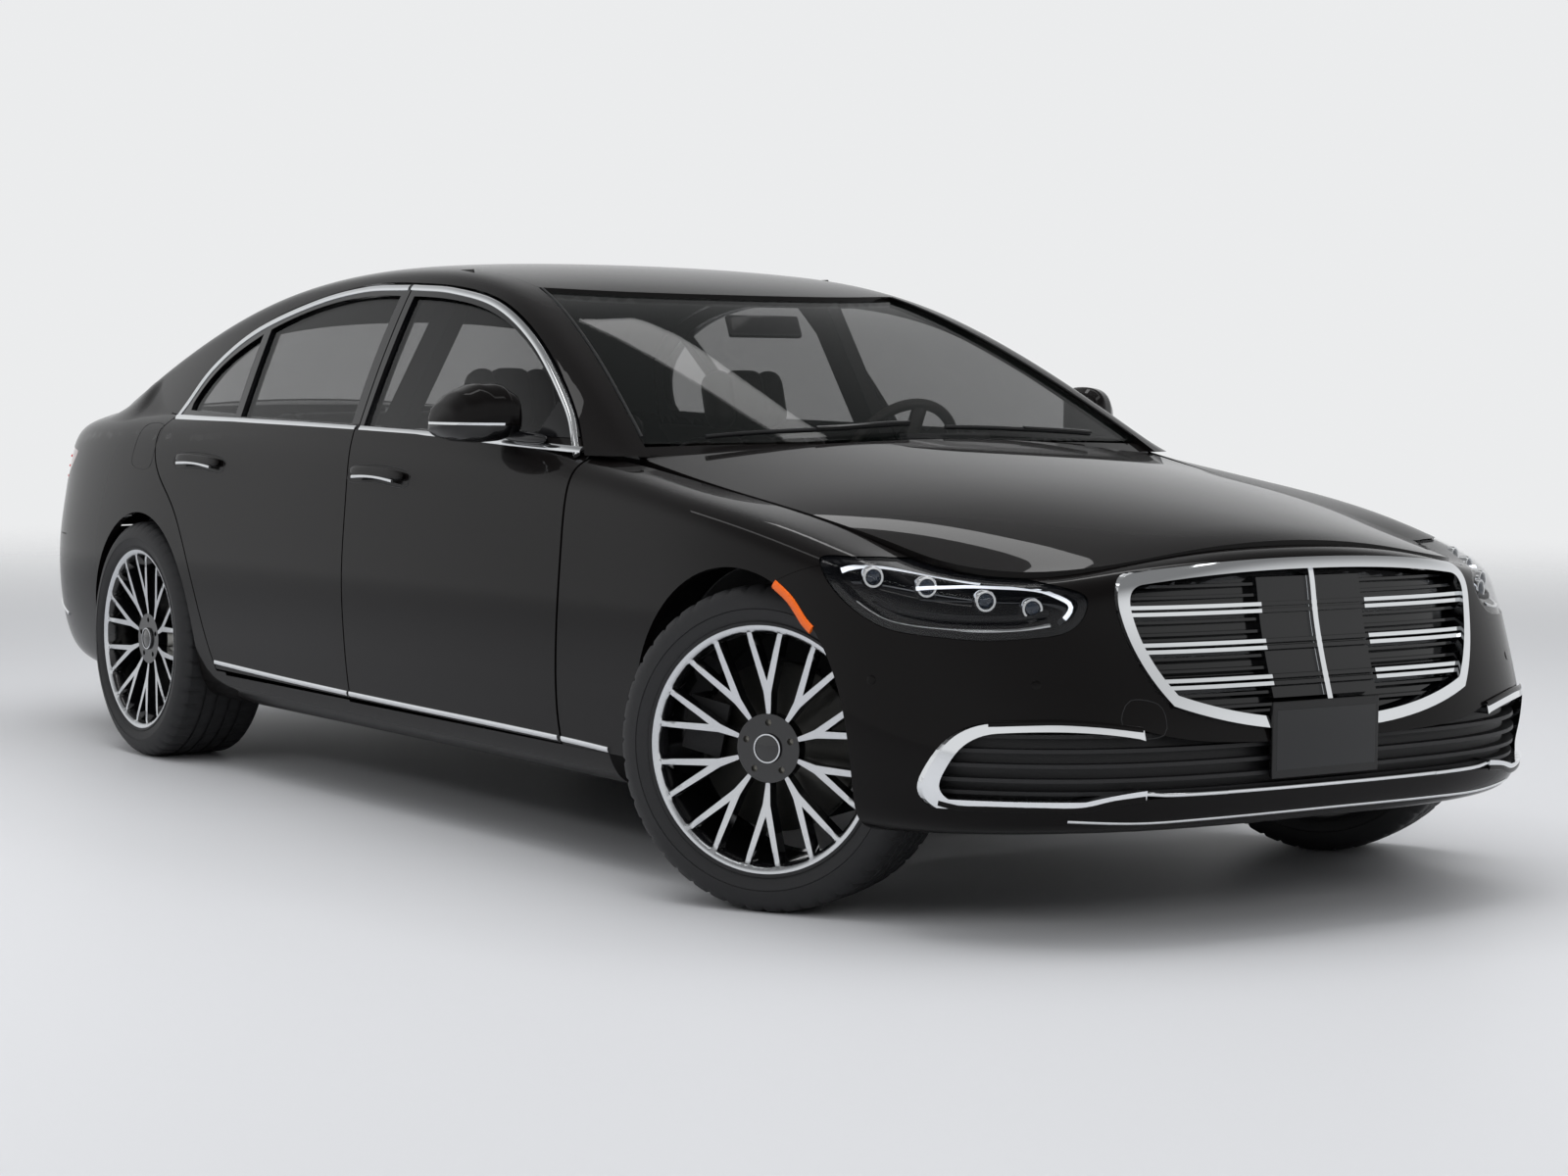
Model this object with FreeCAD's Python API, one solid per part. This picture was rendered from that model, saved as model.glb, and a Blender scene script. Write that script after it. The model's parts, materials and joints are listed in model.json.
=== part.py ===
import FreeCAD, Part
import math
import os
from FreeCAD import Vector

doc = FreeCAD.newDocument("Saloon")
sheet = doc.addObject("Spreadsheet::Sheet", "Sizes")

# Driving sizes, millimetres and degrees
SIZES = {
    "overall_length": 5289,
    "body_width": 1954,
    "roof_height": 1478,
    "wheelbase": 3216,
    "front_axle_ahead": 1783,
    "front_track": 1660,
    "rear_track": 1688,
    "front_tyre_diameter": 712,
    "front_tyre_width": 255,
    "rear_tyre_diameter": 707.5,
    "rear_tyre_width": 285,
    "rim_flange_diameter": 540,
    "front_arch_radius": 391,
    "rear_arch_radius": 382,
    "kingpin_inset": 15,
    "steer_at_rest": 28.9,
    "panel_thickness": 20,
    "door_thickness": 92,
    "frame_thickness": 30,
    "glass_thickness": 5,
    "shut_gap": 6,
    "disc_diameter": 370,
    "disc_thickness": 30,
    "wheel_dish": 24,
    "spoke_depth": 34,
    "bore_diameter": 66.6,
    "kingpin_diameter": 16,
    "liner_thickness": 5,
    "floor_height": 205,
    "floor_thickness": 22,
    "engine_length": 640,
    "engine_width": 560,
    "engine_height": 430,
    "steering_wheel_diameter": 380,
    "steering_rim_thickness": 30,
    "bolt_circle_diameter": 112,
    "bolt_hole_diameter": 15,
}
for row, (name, value) in enumerate(SIZES.items(), start=1):
    sheet.set("A%d" % row, name)
    sheet.set("B%d" % row, str(value))
    sheet.setAlias("B%d" % row, name)
doc.recompute()


def size(name):
    return float(sheet.get(name))


along = size("overall_length") / 5289.0
across = size("body_width") / 1954.0
upward = size("roof_height") / 1478.0
gap = size("shut_gap")
skin = size("panel_thickness")
front_x = size("front_axle_ahead")
rear_x = front_x - size("wheelbase")


# Body side seen from above: widest level x, y; shoulder edge x, y, z; squareness of the shoulder
STATIONS = [
    (2652, 0, 2487, 0, 808, 0.80), (2648, 230, 2482, 230, 800, 0.80),
    (2630, 445, 2460, 445, 772, 0.80), (2565, 650, 2398, 585, 746, 0.75),
    (2440, 805, 2296, 676, 745, 0.70), (2285, 915, 2180, 722, 762, 0.75),
    (2110, 966, 2060, 738, 790, 0.85), (1900, 981, 1900, 756, 836, 0.95),
    (1670, 984, 1670, 780, 876, 1.0), (1430, 981, 1430, 793, 908, 1.0),
    (1180, 978, 1180, 820, 950, 0.85), (920, 978, 920, 890, 985, 0.45),
    (620, 978, 620, 903, 995, 0.30), (320, 978, 320, 905, 1001, 0.30),
    (20, 978, 20, 905, 1006, 0.30), (-280, 978, -280, 905, 1010, 0.30),
    (-580, 978, -580, 904, 1013, 0.30), (-880, 979, -880, 900, 1015, 0.32),
    (-1170, 981, -1170, 890, 1020, 0.40), (-1430, 981, -1430, 865, 1030, 0.50),
    (-1690, 976, -1690, 828, 1040, 0.60), (-1930, 962, -1930, 790, 1036, 0.65),
    (-2150, 934, -2150, 750, 1022, 0.70), (-2340, 880, -2330, 715, 1000, 0.70),
    (-2500, 780, -2465, 650, 985, 0.70), (-2590, 620, -2550, 520, 985, 0.70),
    (-2632, 430, -2584, 380, 1000, 0.70), (-2650, 220, -2600, 200, 1012, 0.70),
    (-2654, 0, -2606, 0, 1016, 0.70),
]
LEVELS = {"nose": (228, 240, 300, 400, 520, 650), "side": (205, 212, 300, 450, 620, 770),
          "tail": (240, 252, 330, 470, 620, 770)}
INSETS = {"nose": (95, 30, 6, 4, 45, 85), "side": (118, 68, 28, 4, -2, 8),
          "tail": (150, 70, 25, 4, 4, 40)}
FIRST_FRONT, LAST_FRONT = 0, 18
FIRST_REAR, LAST_REAR = 10, 28


def table(value, marks, results):
    if value <= marks[0]:
        return results[0]
    for low, high, start, end in zip(marks, marks[1:], results, results[1:]):
        if value <= high:
            return start + (end - start) * (value - low) / (high - low)
    return results[-1]


def between(start, end, share):
    return start + (end - start) * share


def side_row(index):
    nose = table(index, (0, 3, 6, 8), (1, 1, 0.35, 0))
    tail = table(index, (19, 22, 25, 28), (0, 0.4, 1, 1))
    plain = 1 - nose - tail
    x, y, top_x, top_y, top_z, square = STATIONS[index]
    before = STATIONS[max(index - 1, 0)]
    after = STATIONS[min(index + 1, len(STATIONS) - 1)]
    run = Vector(after[0] - before[0], after[1] - before[1], 0)
    if index == 0:
        run = Vector(0, 1, 0)
    if index == len(STATIONS) - 1:
        run = Vector(0, -1, 0)
    run.normalize()
    outward = Vector(run.y, -run.x, 0)
    row = []
    for level in range(6):
        z = nose * LEVELS["nose"][level] + plain * LEVELS["side"][level] + tail * LEVELS["tail"][level]
        inset = nose * INSETS["nose"][level] + plain * INSETS["side"][level] + tail * INSETS["tail"][level]
        row.append(Vector(x - outward.x * inset, y - outward.y * inset, z))
    foot = row[-1]
    edge = Vector(top_x, top_y, top_z)
    for flat_in, square_in, flat_up, square_up in ((0.33, 0.06, 0.33, 0.62), (0.60, 0.24, 0.60, 0.96),
                                                   (0.82, 0.58, 0.82, 1.0)):
        inward = between(flat_in, square_in, square)
        rise = between(flat_up, square_up, square)
        row.append(Vector(between(foot.x, edge.x, inward), between(foot.y, edge.y, inward),
                          between(foot.z, edge.z, rise)))
    row.append(edge)
    return row


def mirrored(row):
    return [Vector(p.x, -p.y, p.z) for p in row]


def scaled(net):
    return [[Vector(p.x * along, p.y * across, p.z * upward) for p in row] for row in net]


HALF = [side_row(index) for index in range(len(STATIONS))]
front_wrap = scaled([HALF[i] for i in range(LAST_FRONT, 0, -1)] + [HALF[0]]
                    + [mirrored(HALF[i]) for i in range(1, LAST_FRONT + 1)])
rear_wrap = scaled([mirrored(HALF[i]) for i in range(FIRST_REAR, LAST_REAR)] + [HALF[LAST_REAR]]
                   + [HALF[i] for i in range(LAST_REAR - 1, FIRST_REAR - 1, -1)])



def side_net(first, last):
    return scaled([HALF[i] for i in range(last, first - 1, -1)])


# Greenhouse: belt x, y, z; roof edge x, y, z; centre line x, z
ARCHES = [
    (1230, 905, 930, 1255, 820, 905, 1400, 925), (1080, 905, 962, 1085, 798, 1007, 1265, 1000),
    (880, 905, 970, 880, 765, 1124, 1060, 1096), (640, 908, 972, 640, 717, 1248, 800, 1209),
    (400, 908, 975, 400, 672, 1348, 540, 1320), (190, 908, 978, 190, 636, 1404, 300, 1402),
    (-60, 908, 980, -60, 618, 1440, -10, 1458), (-330, 908, 980, -330, 612, 1450, -310, 1477),
    (-620, 908, 980, -620, 616, 1445, -600, 1478), (-900, 906, 980, -900, 634, 1420, -880, 1461),
    (-1150, 902, 980, -1150, 664, 1374, -1140, 1420), (-1380, 890, 980, -1390, 702, 1300, -1400, 1354),
    (-1590, 870, 980, -1620, 742, 1206, -1650, 1263), (-1800, 845, 975, -1850, 778, 1100, -1890, 1164),
    (-2000, 820, 960, -2060, 800, 1000, -2120, 1062), (-2150, 800, 930, -2250, 800, 900, -2330, 960),
]


def arch_row(belt_x, belt_y, belt_z, edge_x, edge_y, edge_z, mid_x, mid_z):
    half = [Vector(belt_x, belt_y + 24, belt_z - 42)]
    for inward, rise in ((0.20, 0.25), (0.48, 0.55), (0.76, 0.82), (0.93, 0.965)):
        half.append(Vector(between(belt_x, edge_x, rise), between(belt_y, edge_y, inward),
                           between(belt_z, edge_z, rise)))
    for inward, rise in ((0.06, 0.18), (0.30, 0.62), (0.62, 0.92), (1.0, 1.0)):
        half.append(Vector(between(edge_x, mid_x, 1 - (1 - inward) ** 2), edge_y * (1 - inward),
                           between(edge_z, mid_z, rise)))
    return mirrored(half[:-1]) + half[::-1]


glasshouse = scaled([arch_row(*arch) for arch in ARCHES])

# Bonnet and boot tops: edge x, y, z and centre x, z for each row
BONNET_ROWS = [
    (2440, 640, 738, 2520, 800), (2380, 660, 742, 2462, 828), (2280, 700, 755, 2370, 852),
    (2120, 752, 782, 2220, 882), (1900, 780, 833, 1980, 922), (1670, 800, 874, 1740, 954),
    (1430, 815, 905, 1500, 984), (1200, 835, 942, 1290, 1008), (1090, 850, 962, 1190, 1022),
]
BOOT_ROWS = [
    (-1980, 815, 1032, -2060, 1085), (-2060, 790, 1028, -2140, 1078), (-2180, 765, 1018, -2240, 1070),
    (-2320, 735, 1002, -2380, 1062), (-2440, 690, 990, -2500, 1052), (-2530, 600, 985, -2580, 1040),
    (-2570, 520, 982, -2622, 1030),
]
CROWN = ((0.16, 0.26), (0.34, 0.52), (0.56, 0.78), (0.78, 0.94), (1.0, 1.0))


def top_row(edge_x, edge_y, edge_z, mid_x, mid_z):
    half = [Vector(edge_x, edge_y, edge_z)]
    for inward, rise in CROWN:
        half.append(Vector(between(edge_x, mid_x, 1 - (1 - inward) ** 2), edge_y * (1 - inward),
                           between(edge_z, mid_z, rise)))
    return mirrored(half[:-1]) + half[::-1]


bonnet_top = scaled([top_row(*row) for row in BONNET_ROWS])
boot_top = scaled([top_row(*row) for row in BOOT_ROWS])


# Surfaces and slabs
def knots_of(count):
    return [float(i) for i in range(count - 2)]


def repeats_of(count):
    return [4] + [1] * (count - 4) + [4]


def net_face(net):
    surface = Part.BSplineSurface()
    surface.buildFromPolesMultsKnots(net, repeats_of(len(net)), repeats_of(len(net[0])),
                                     knots_of(len(net)), knots_of(len(net[0])), False, False, 3, 3)
    return surface.toShape()


def edge_strip(first, second):
    surface = Part.BSplineSurface()
    surface.buildFromPolesMultsKnots([first, second], [2, 2], repeats_of(len(first)),
                                     [0.0, 1.0], knots_of(len(first)), False, False, 1, 3)
    return surface.toShape()


def moved_in(net, depth):
    rows, columns = len(net), len(net[0])
    result = []
    for i in range(rows):
        row = []
        for j in range(columns):
            down = net[min(i + 1, rows - 1)][j] - net[max(i - 1, 0)][j]
            over = net[i][min(j + 1, columns - 1)] - net[i][max(j - 1, 0)]
            normal = down.cross(over)
            normal.normalize()
            reach = depth[j] if isinstance(depth, (list, tuple)) else depth
            row.append(net[i][j] + normal * reach)
        result.append(row)
    return result


def slab(net, outer, inner):
    near = moved_in(net, outer) if outer else net
    far = moved_in(net, inner)
    faces = [net_face(near), net_face(far), edge_strip(near[0], far[0]), edge_strip(near[-1], far[-1]),
             edge_strip([r[0] for r in near], [r[0] for r in far]),
             edge_strip([r[-1] for r in near], [r[-1] for r in far])]
    shell = Part.makeCompound(faces)
    shell.sewShape()
    solid = Part.Solid(shell.Shells[0])
    if solid.Volume < 0:
        solid.reverse()
    return solid


# Outlines: legs of points, straight when two points, smooth when more
def leg_edge(points):
    if len(points) == 2:
        return Part.makeLine(points[0], points[1])
    curve = Part.BSplineCurve()
    curve.interpolate(points)
    return curve.toShape()


def prism(legs, place, reach):
    edges = [leg_edge([place(a, b) for a, b in leg]) for leg in legs]
    face = Part.Face(Part.Wire(Part.__sortEdges__(edges)))
    return face.extrude(reach)


def side_prism(legs, low=400, high=1200):
    return prism(legs, lambda x, z: Vector(x * along, low * across, z * upward),
                 Vector(0, (high - low) * across, 0))


def plan_prism(legs, low=500, high=1700):
    return prism(legs, lambda x, y: Vector(x * along, y * across, low * upward),
                 Vector(0, 0, (high - low) * upward))


def front_prism(legs, low, high):
    return prism(legs, lambda y, z: Vector(low * along, y * across, z * upward),
                 Vector((high - low) * along, 0, 0))


def slanted_prism(points, direction, reach, grow=0.0):
    direction = Vector(*direction)
    direction.normalize()
    sideways = Vector(0, 0, 1).cross(direction)
    flat = []
    for x, y, z in points:
        p = Vector(x * along, y * across, z * upward)
        flat.append((p.dot(sideways), p.z))
    if grow:
        flat = grown(flat, grow)
    base = Vector(*points[0])
    base = Vector(base.x * along, base.y * across, base.z * upward)
    start = base.dot(direction) - reach / 2
    corners = [direction * start + sideways * a + Vector(0, 0, b) for a, b in flat]
    curve = Part.BSplineCurve()
    curve.interpolate(corners, PeriodicFlag=True)
    return Part.Face(Part.Wire(curve.toShape())).extrude(direction * reach)


def area_of(points):
    return sum(a[0] * b[1] - b[0] * a[1] for a, b in zip(points, points[1:] + points[:1])) / 2


def grown(points, distance):
    turn = 1 if area_of(points) > 0 else -1
    result = []
    for i, point in enumerate(points):
        back = points[i - 1]
        ahead = points[(i + 1) % len(points)]
        first = Vector(point[0] - back[0], point[1] - back[1], 0)
        second = Vector(ahead[0] - point[0], ahead[1] - point[1], 0)
        first.normalize()
        second.normalize()
        one = Vector(first.y, -first.x, 0) * turn
        two = Vector(second.y, -second.x, 0) * turn
        bisector = one + two
        bisector.normalize()
        stretch = distance / max(bisector.dot(one), 0.35)
        result.append((point[0] + bisector.x * stretch, point[1] + bisector.y * stretch))
    return result


def legs_grown(legs, distance):
    flat = []
    for leg in legs:
        flat.extend(leg[:-1])
    flat = grown(flat, distance)
    result, start = [], 0
    for leg in legs:
        count = len(leg) - 1
        result.append([flat[(start + k) % len(flat)] for k in range(count + 1)])
        start += count
    return result


def block(x0, x1, y0, y1, z0, z1):
    return Part.makeBox(x1 - x0, y1 - y0, z1 - z0, Vector(x0, y0, z0))


def body_block(x0, x1, y0, y1, z0, z1):
    return block(x0 * along, x1 * along, y0 * across, y1 * across, z0 * upward, z1 * upward)


def rod(radius, length, start, direction):
    return Part.makeCylinder(radius, length, start, direction)


def other_side(shape):
    return shape.mirror(Vector(0, 0, 0), Vector(0, 1, 0))


def largest(shape):
    return max(shape.Solids, key=lambda solid: solid.Volume)


def solid_only(shape, least=2000.0):
    solids = [s for s in shape.Solids if s.Volume > least]
    return solids[0] if len(solids) == 1 else Part.makeCompound(solids)


pieces = {}


def keep(name, shape):
    pieces[name] = solid_only(shape)


# Door outlines on the left side, x and z
B_LINE = [(-90, 292), (-68, 445), (-70, 620), (-73, 783), (-104, 930), (-132, 1000)]
FRONT_DOOR = [
    [(1014, 284), (1029, 385), (1052, 570), (1059, 751), (1044, 900), (1034, 962)],
    [(1034, 962), (839, 1092), (547, 1249), (271, 1345), (-14, 1389), (-272, 1403)],
    [(-272, 1403), (-200, 1200), (-132, 1000)],
    B_LINE[::-1],
    [(-90, 292), (1014, 284)],
]
REAR_DOOR = [
    B_LINE,
    [(-132, 1000), (-200, 1200), (-272, 1403)],
    [(-272, 1403), (-544, 1402), (-813, 1368), (-1109, 1288), (-1282, 1180), (-1352, 1070), (-1405, 985)],
    [(-1405, 985), (-1340, 872), (-1197, 770), (-1063, 601), (-986, 441), (-940, 300)],
    [(-940, 300), (-90, 292)],
]
FRONT_GLASS = [
    [(968, 1006), (800, 1092), (547, 1222), (271, 1315), (40, 1352), (-225, 1368)],
    [(-225, 1368), (-165, 1190), (-112, 1018)],
    [(-112, 1018), (968, 1006)],
]
REAR_GLASS = [
    [(-186, 1020), (-245, 1190), (-305, 1370)],
    [(-305, 1370), (-544, 1370), (-813, 1336), (-1010, 1283)],
    [(-1010, 1283), (-955, 1160), (-905, 1030)],
    [(-905, 1030), (-186, 1020)],
]
QUARTER_GLASS = [
    [(-945, 1034), (-995, 1150), (-1045, 1270)],
    [(-1045, 1270), (-1150, 1222), (-1250, 1150), (-1300, 1064)],
    [(-1300, 1064), (-1293, 1044)],
    [(-1293, 1044), (-945, 1034)],
]
WINDSCREEN = [
    [(1085, -770), (1160, -500), (1205, -200), (1212, 0), (1205, 200), (1160, 500), (1085, 770)],
    [(1085, 770), (700, 672), (268, 572)],
    [(268, 572), (330, 380), (362, 190), (372, 0), (362, -190), (330, -380), (268, -572)],
    [(268, -572), (700, -672), (1085, -770)],
]
BACK_WINDOW = [
    [(-1480, -560), (-1430, -380), (-1408, -190), (-1400, 0), (-1408, 190), (-1430, 380), (-1480, 560)],
    [(-1480, 560), (-1790, 612), (-2020, 650)],
    [(-2020, 650), (-2090, 440), (-2118, 200), (-2124, 0), (-2118, -200), (-2090, -440), (-2020, -650)],
    [(-2020, -650), (-1790, -612), (-1480, -560)],
]
ROOF_PLAN = [
    [(262, -570), (324, -380), (356, -190), (366, 0), (356, 190), (324, 380), (262, 570)],
    [(262, 570), (262, 571.7)],
    [(262, 571.7), (-60, 561.4), (-600, 553.4), (-1100, 541.4), (-1474, 547.4)],
    [(-1474, 547.4), (-1474, 546)],
    [(-1474, 546), (-1424, 380), (-1402, 190), (-1394, 0), (-1402, -190), (-1424, -380), (-1474, -546)],
    [(-1474, -546), (-1474, -547.4)],
    [(-1474, -547.4), (-1100, -541.4), (-600, -553.4), (-60, -561.4), (262, -571.7)],
    [(262, -571.7), (262, -570)],
]

TOP_OPENING = [
    [(1250, 0), (1250, 800)],
    [(1250, 800), (1085, 770.5)],
    [(1085, 770.5), (700, 672.5), (268, 572.5)],
    [(268, 572.5), (-60, 562), (-600, 554), (-1100, 542), (-1476, 548)],
    [(-1476, 548), (-1480, 560.5)],
    [(-1480, 560.5), (-1790, 612.5), (-2020, 650.5)],
    [(-2020, 650.5), (-2300, 720)],
    [(-2300, 720), (-2300, 0)],
    [(-2300, 0), (1250, 0)],
]
front_skin = slab(front_wrap, 0, skin)
rear_skin = slab(rear_wrap, 0, skin)
roof_skin = slab(glasshouse, 0, size("frame_thickness"))
door_depths = [size("door_thickness") * share for share in (0.9, 1, 1, 1, 1, 1, 0.9, 0.75, 0.6, 0.5)]
front_deep = slab(side_net(7, 18), 8, door_depths)
rear_deep = slab(side_net(12, 22), 8, door_depths)
glass_depth = 9.0
glass_skin = slab(glasshouse, glass_depth, glass_depth + size("glass_thickness"))
pane_edge = 0.3

front_arch = rod(size("front_arch_radius"), 3000, Vector(front_x, -1500, size("front_tyre_diameter") / 2),
                 Vector(0, 1, 0))
rear_arch = rod(size("rear_arch_radius"), 3000, Vector(rear_x, -1500, size("rear_tyre_diameter") / 2),
                Vector(0, 1, 0))
belt_split = 990


def door(outline, glasses, skin_slab, deep_slab, lower_box):
    lip = legs_grown(outline, -gap / 2)
    core = legs_grown(outline, -22)
    below = skin_slab.common(lower_box).common(side_prism(lip))
    inner = deep_slab.common(side_prism(core)).common(lower_box)
    above = roof_skin.common(side_prism(lip)).common(body_block(-1500, 1300, 400, 1200, belt_split - 12, 1500))
    for outline_of_glass in glasses:
        above = above.cut(side_prism(outline_of_glass))
    whole = below.fuse(inner).fuse(above)
    for outline_of_glass in glasses:
        whole = whole.cut(side_prism(outline_of_glass))
    return whole


def side_glass(outlines, door_outline):
    space = side_prism(legs_grown(door_outline, -gap / 2 - 5)).common(body_block(-1500, 1300, 400, 1200, 900, 1500))
    panes = [glass_skin.common(side_prism(legs_grown(o, 7))).common(space) for o in outlines]
    return Part.makeCompound([largest(p) for p in panes])


# Doors
front_door_box = body_block(-200, 1300, 500, 1200, 200, 1012)
rear_door_box = body_block(-1500, 0, 500, 1200, 200, 1016)
front_door = door(FRONT_DOOR, [FRONT_GLASS], front_skin, front_deep, front_door_box)
rear_door = door(REAR_DOOR, [REAR_GLASS, QUARTER_GLASS], rear_skin, rear_deep, rear_door_box).cut(rear_arch)
front_pane = side_glass([FRONT_GLASS], FRONT_DOOR)
rear_panes = side_glass([REAR_GLASS, QUARTER_GLASS], REAR_DOOR)
front_door = front_door.cut(front_pane)
rear_door = rear_door.cut(rear_panes)
keep("door_front_left", front_door)
keep("door_front_right", other_side(front_door))
keep("door_rear_left", rear_door)
keep("door_rear_right", other_side(rear_door))
keep("glass_front_left", front_pane)
keep("glass_front_right", other_side(front_pane))
keep("glass_rear_left", rear_panes)
keep("glass_rear_right", other_side(rear_panes))

# Outlines of lamps, grille and intakes on the body
HEADLAMP = [(2048, 922, 769), (2104, 931, 720), (2162, 924, 683), (2242, 904, 648), (2341, 852, 633),
            (2416, 784, 627), (2477, 685, 634), (2502, 602, 662), (2495, 577, 709), (2465, 600, 728),
            (2328, 669, 748), (2200, 745, 764), (2124, 820, 780), (2083, 884, 782)]
TAIL_LAMP = [(-2190, 925, 905), (-2330, 880, 914), (-2450, 790, 918), (-2540, 690, 916), (-2600, 560, 905),
             (-2632, 450, 876), (-2638, 440, 806), (-2612, 560, 778), (-2540, 720, 770), (-2420, 840, 778),
             (-2290, 910, 820)]
INTAKE_SIDE = [(844, 284), (868, 325), (862, 372), (834, 430), (775, 462)]
INTAKE_TOP = [(775, 462), (657, 466), (509, 450)]
INTAKE_MIDDLE = [(509, 450), (423, 428), (242, 412), (0, 408)]
INTAKE_FOOT = [(0, 310), (303, 309), (477, 306)]
INTAKE_DIP = [(477, 306), (560, 297), (620, 284)]


def both_sides(leg):
    return [(-y, z) for y, z in leg]


INTAKE = [
    INTAKE_SIDE, INTAKE_TOP,
    INTAKE_MIDDLE + both_sides(INTAKE_MIDDLE)[-2::-1],
    both_sides(INTAKE_TOP)[::-1], both_sides(INTAKE_SIDE)[::-1],
    [(-844, 284), (-620, 284)],
    both_sides(INTAKE_DIP)[::-1],
    both_sides(INTAKE_FOOT)[::-1][:-1] + INTAKE_FOOT,
    INTAKE_DIP,
    [(620, 284), (844, 284)],
]
GRILLE = [
    [(-509, 684), (-494, 744), (-450, 762)],
    [(-450, 762), (-224, 781), (0, 786), (224, 781), (450, 762)],
    [(450, 762), (494, 744), (509, 684)],
    [(509, 684), (468, 556), (424, 492)],
    [(424, 492), (200, 440), (0, 428), (-200, 440), (-424, 492)],
    [(-424, 492), (-468, 556), (-509, 684)],
]
BONNET_PLAN = [
    [(1120, -796), (1188, -640), (1240, -420), (1272, -200), (1280, 0),
     (1272, 200), (1240, 420), (1188, 640), (1120, 796)],
    [(1120, 796), (1430, 788), (1670, 777), (1900, 754), (2060, 734), (2180, 716), (2296, 668), (2384, 592)],
    [(2384, 592), (2440, 480), (2468, 300), (2480, 0), (2468, -300), (2440, -480), (2384, -592)],
    [(2384, -592), (2296, -668), (2180, -716), (2060, -734), (1900, -754), (1670, -777), (1430, -788),
     (1120, -796)],
]
BOOT_PLAN = [
    [(-2150, -636), (-2190, -440), (-2212, -200), (-2218, 0), (-2212, 200), (-2190, 440), (-2150, 636)],
    [(-2150, 636), (-2230, 690), (-2320, 716), (-2440, 676), (-2520, 592), (-2560, 505)],
    [(-2560, 505), (-2700, 440)],
    [(-2700, 440), (-2700, -440)],
    [(-2700, -440), (-2560, -505)],
    [(-2560, -505), (-2520, -592), (-2440, -676), (-2320, -716), (-2230, -690), (-2150, -636)],
]
COWL = [
    [(1120, -796), (1188, -640), (1240, -420), (1272, -200), (1280, 0),
     (1272, 200), (1240, 420), (1188, 640), (1120, 796)],
    [(1120, 796), (1090, 785)],
    [(1090, 785), (1165, 500), (1210, 200), (1217, 0), (1210, -200), (1165, -500), (1090, -785)],
    [(1090, -785), (1120, -796)],
]

grille_hole = front_prism(GRILLE, 2300, 2900)

# Front wings, bumper, lamps and grille
WING = [
    [(1020, 284), (1035, 385), (1058, 570), (1065, 751), (1050, 900), (1040, 966)],
    [(1040, 966), (1120, 1040)],
    [(1120, 1040), (2330, 900)],
    [(2330, 900), (2090, 772)],
    [(2090, 772), (1990, 750), (1890, 706)],
    [(1890, 706), (1783, 640)],
    [(1783, 640), (1783, 284)],
    [(1783, 284), (1020, 284)],
]
wing = front_skin.common(side_prism(WING, 100, 1200)).cut(front_arch)
wing = wing.cut(slanted_prism(HEADLAMP, (0.72, 0.69, 0), 900, 2.5))
keep("fenders", Part.makeCompound([largest(wing), largest(other_side(wing))]))

nose_zone = body_block(1800, 2800, -1200, 1200, 150, 830)
wing_space = side_prism(legs_grown(WING, 0.8), -1200, 1200)
lamp_space = slanted_prism(HEADLAMP, (0.72, 0.69, 0), 900, 2.5).common(body_block(1900, 2800, 300, 1200, 500, 900))
bumper = front_skin.common(nose_zone).cut(wing_space).cut(front_arch).cut(lamp_space).cut(other_side(lamp_space))
bumper = bumper.cut(grille_hole).cut(front_prism(INTAKE, 2200, 2900))
bumper = bumper.cut(plan_prism(legs_grown(BONNET_PLAN, gap / 2), 690))
keep("front_bumper", largest(bumper))

lamp_face = slanted_prism(HEADLAMP, (0.72, 0.69, 0), 900, 1.7).common(body_block(1900, 2800, 300, 1200, 500, 900))
lamp_core = slanted_prism(HEADLAMP, (0.72, 0.69, 0), 900, -14).common(body_block(1900, 2800, 300, 1200, 500, 900))
cover = slab(front_wrap, 1.5, 5).common(lamp_face)
housing = slab(front_wrap, 5.3, 52).common(lamp_face).common(body_block(1900, 2800, 524, 1200, 500, 900)).cut(slab(front_wrap, 5, 40).common(lamp_core))
lamp = [largest(cover), largest(housing)]
keep("headlamps", Part.makeCompound(lamp + [other_side(shape) for shape in lamp]))

chrome_band = 24
grille_deep = slab(front_wrap, -10, 50)
grille_ring = grille_deep.common(front_prism(legs_grown(GRILLE, -0.5), 2300, 2900))
grille_ring = grille_ring.cut(front_prism(legs_grown(GRILLE, -chrome_band), 2300, 2900))
grille_field = slab(front_wrap, 34, 46).common(front_prism(legs_grown(GRILLE, -chrome_band + 3), 2300, 2900))
grille = grille_ring.fuse(grille_field)
bar_zone = slab(front_wrap, 0, 40).common(front_prism(legs_grown(GRILLE, -chrome_band + 3), 2300, 2900))
slat_zone = slab(front_wrap, 16, 40).common(front_prism(legs_grown(GRILLE, -chrome_band + 3), 2300, 2900))
for height in (683, 607, 534):
    for offset in (-7, 7):
        low = height + offset - 4
        grille = grille.fuse(bar_zone.common(body_block(2300, 2900, -600, 600, low, low + 8)))
for height in (731, 708, 658, 633, 583, 558, 508, 483):
    grille = grille.fuse(slat_zone.common(body_block(2300, 2900, -600, 600, height - 3, height + 3)))
grille = grille.fuse(bar_zone.common(body_block(2300, 2900, -7, 7, 460, 770)))
radar = slab(front_wrap, 10, 40).common(body_block(2300, 2900, -150, 150, 496, 745))
grille = grille.fuse(radar)
keep("grille", grille)

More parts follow.
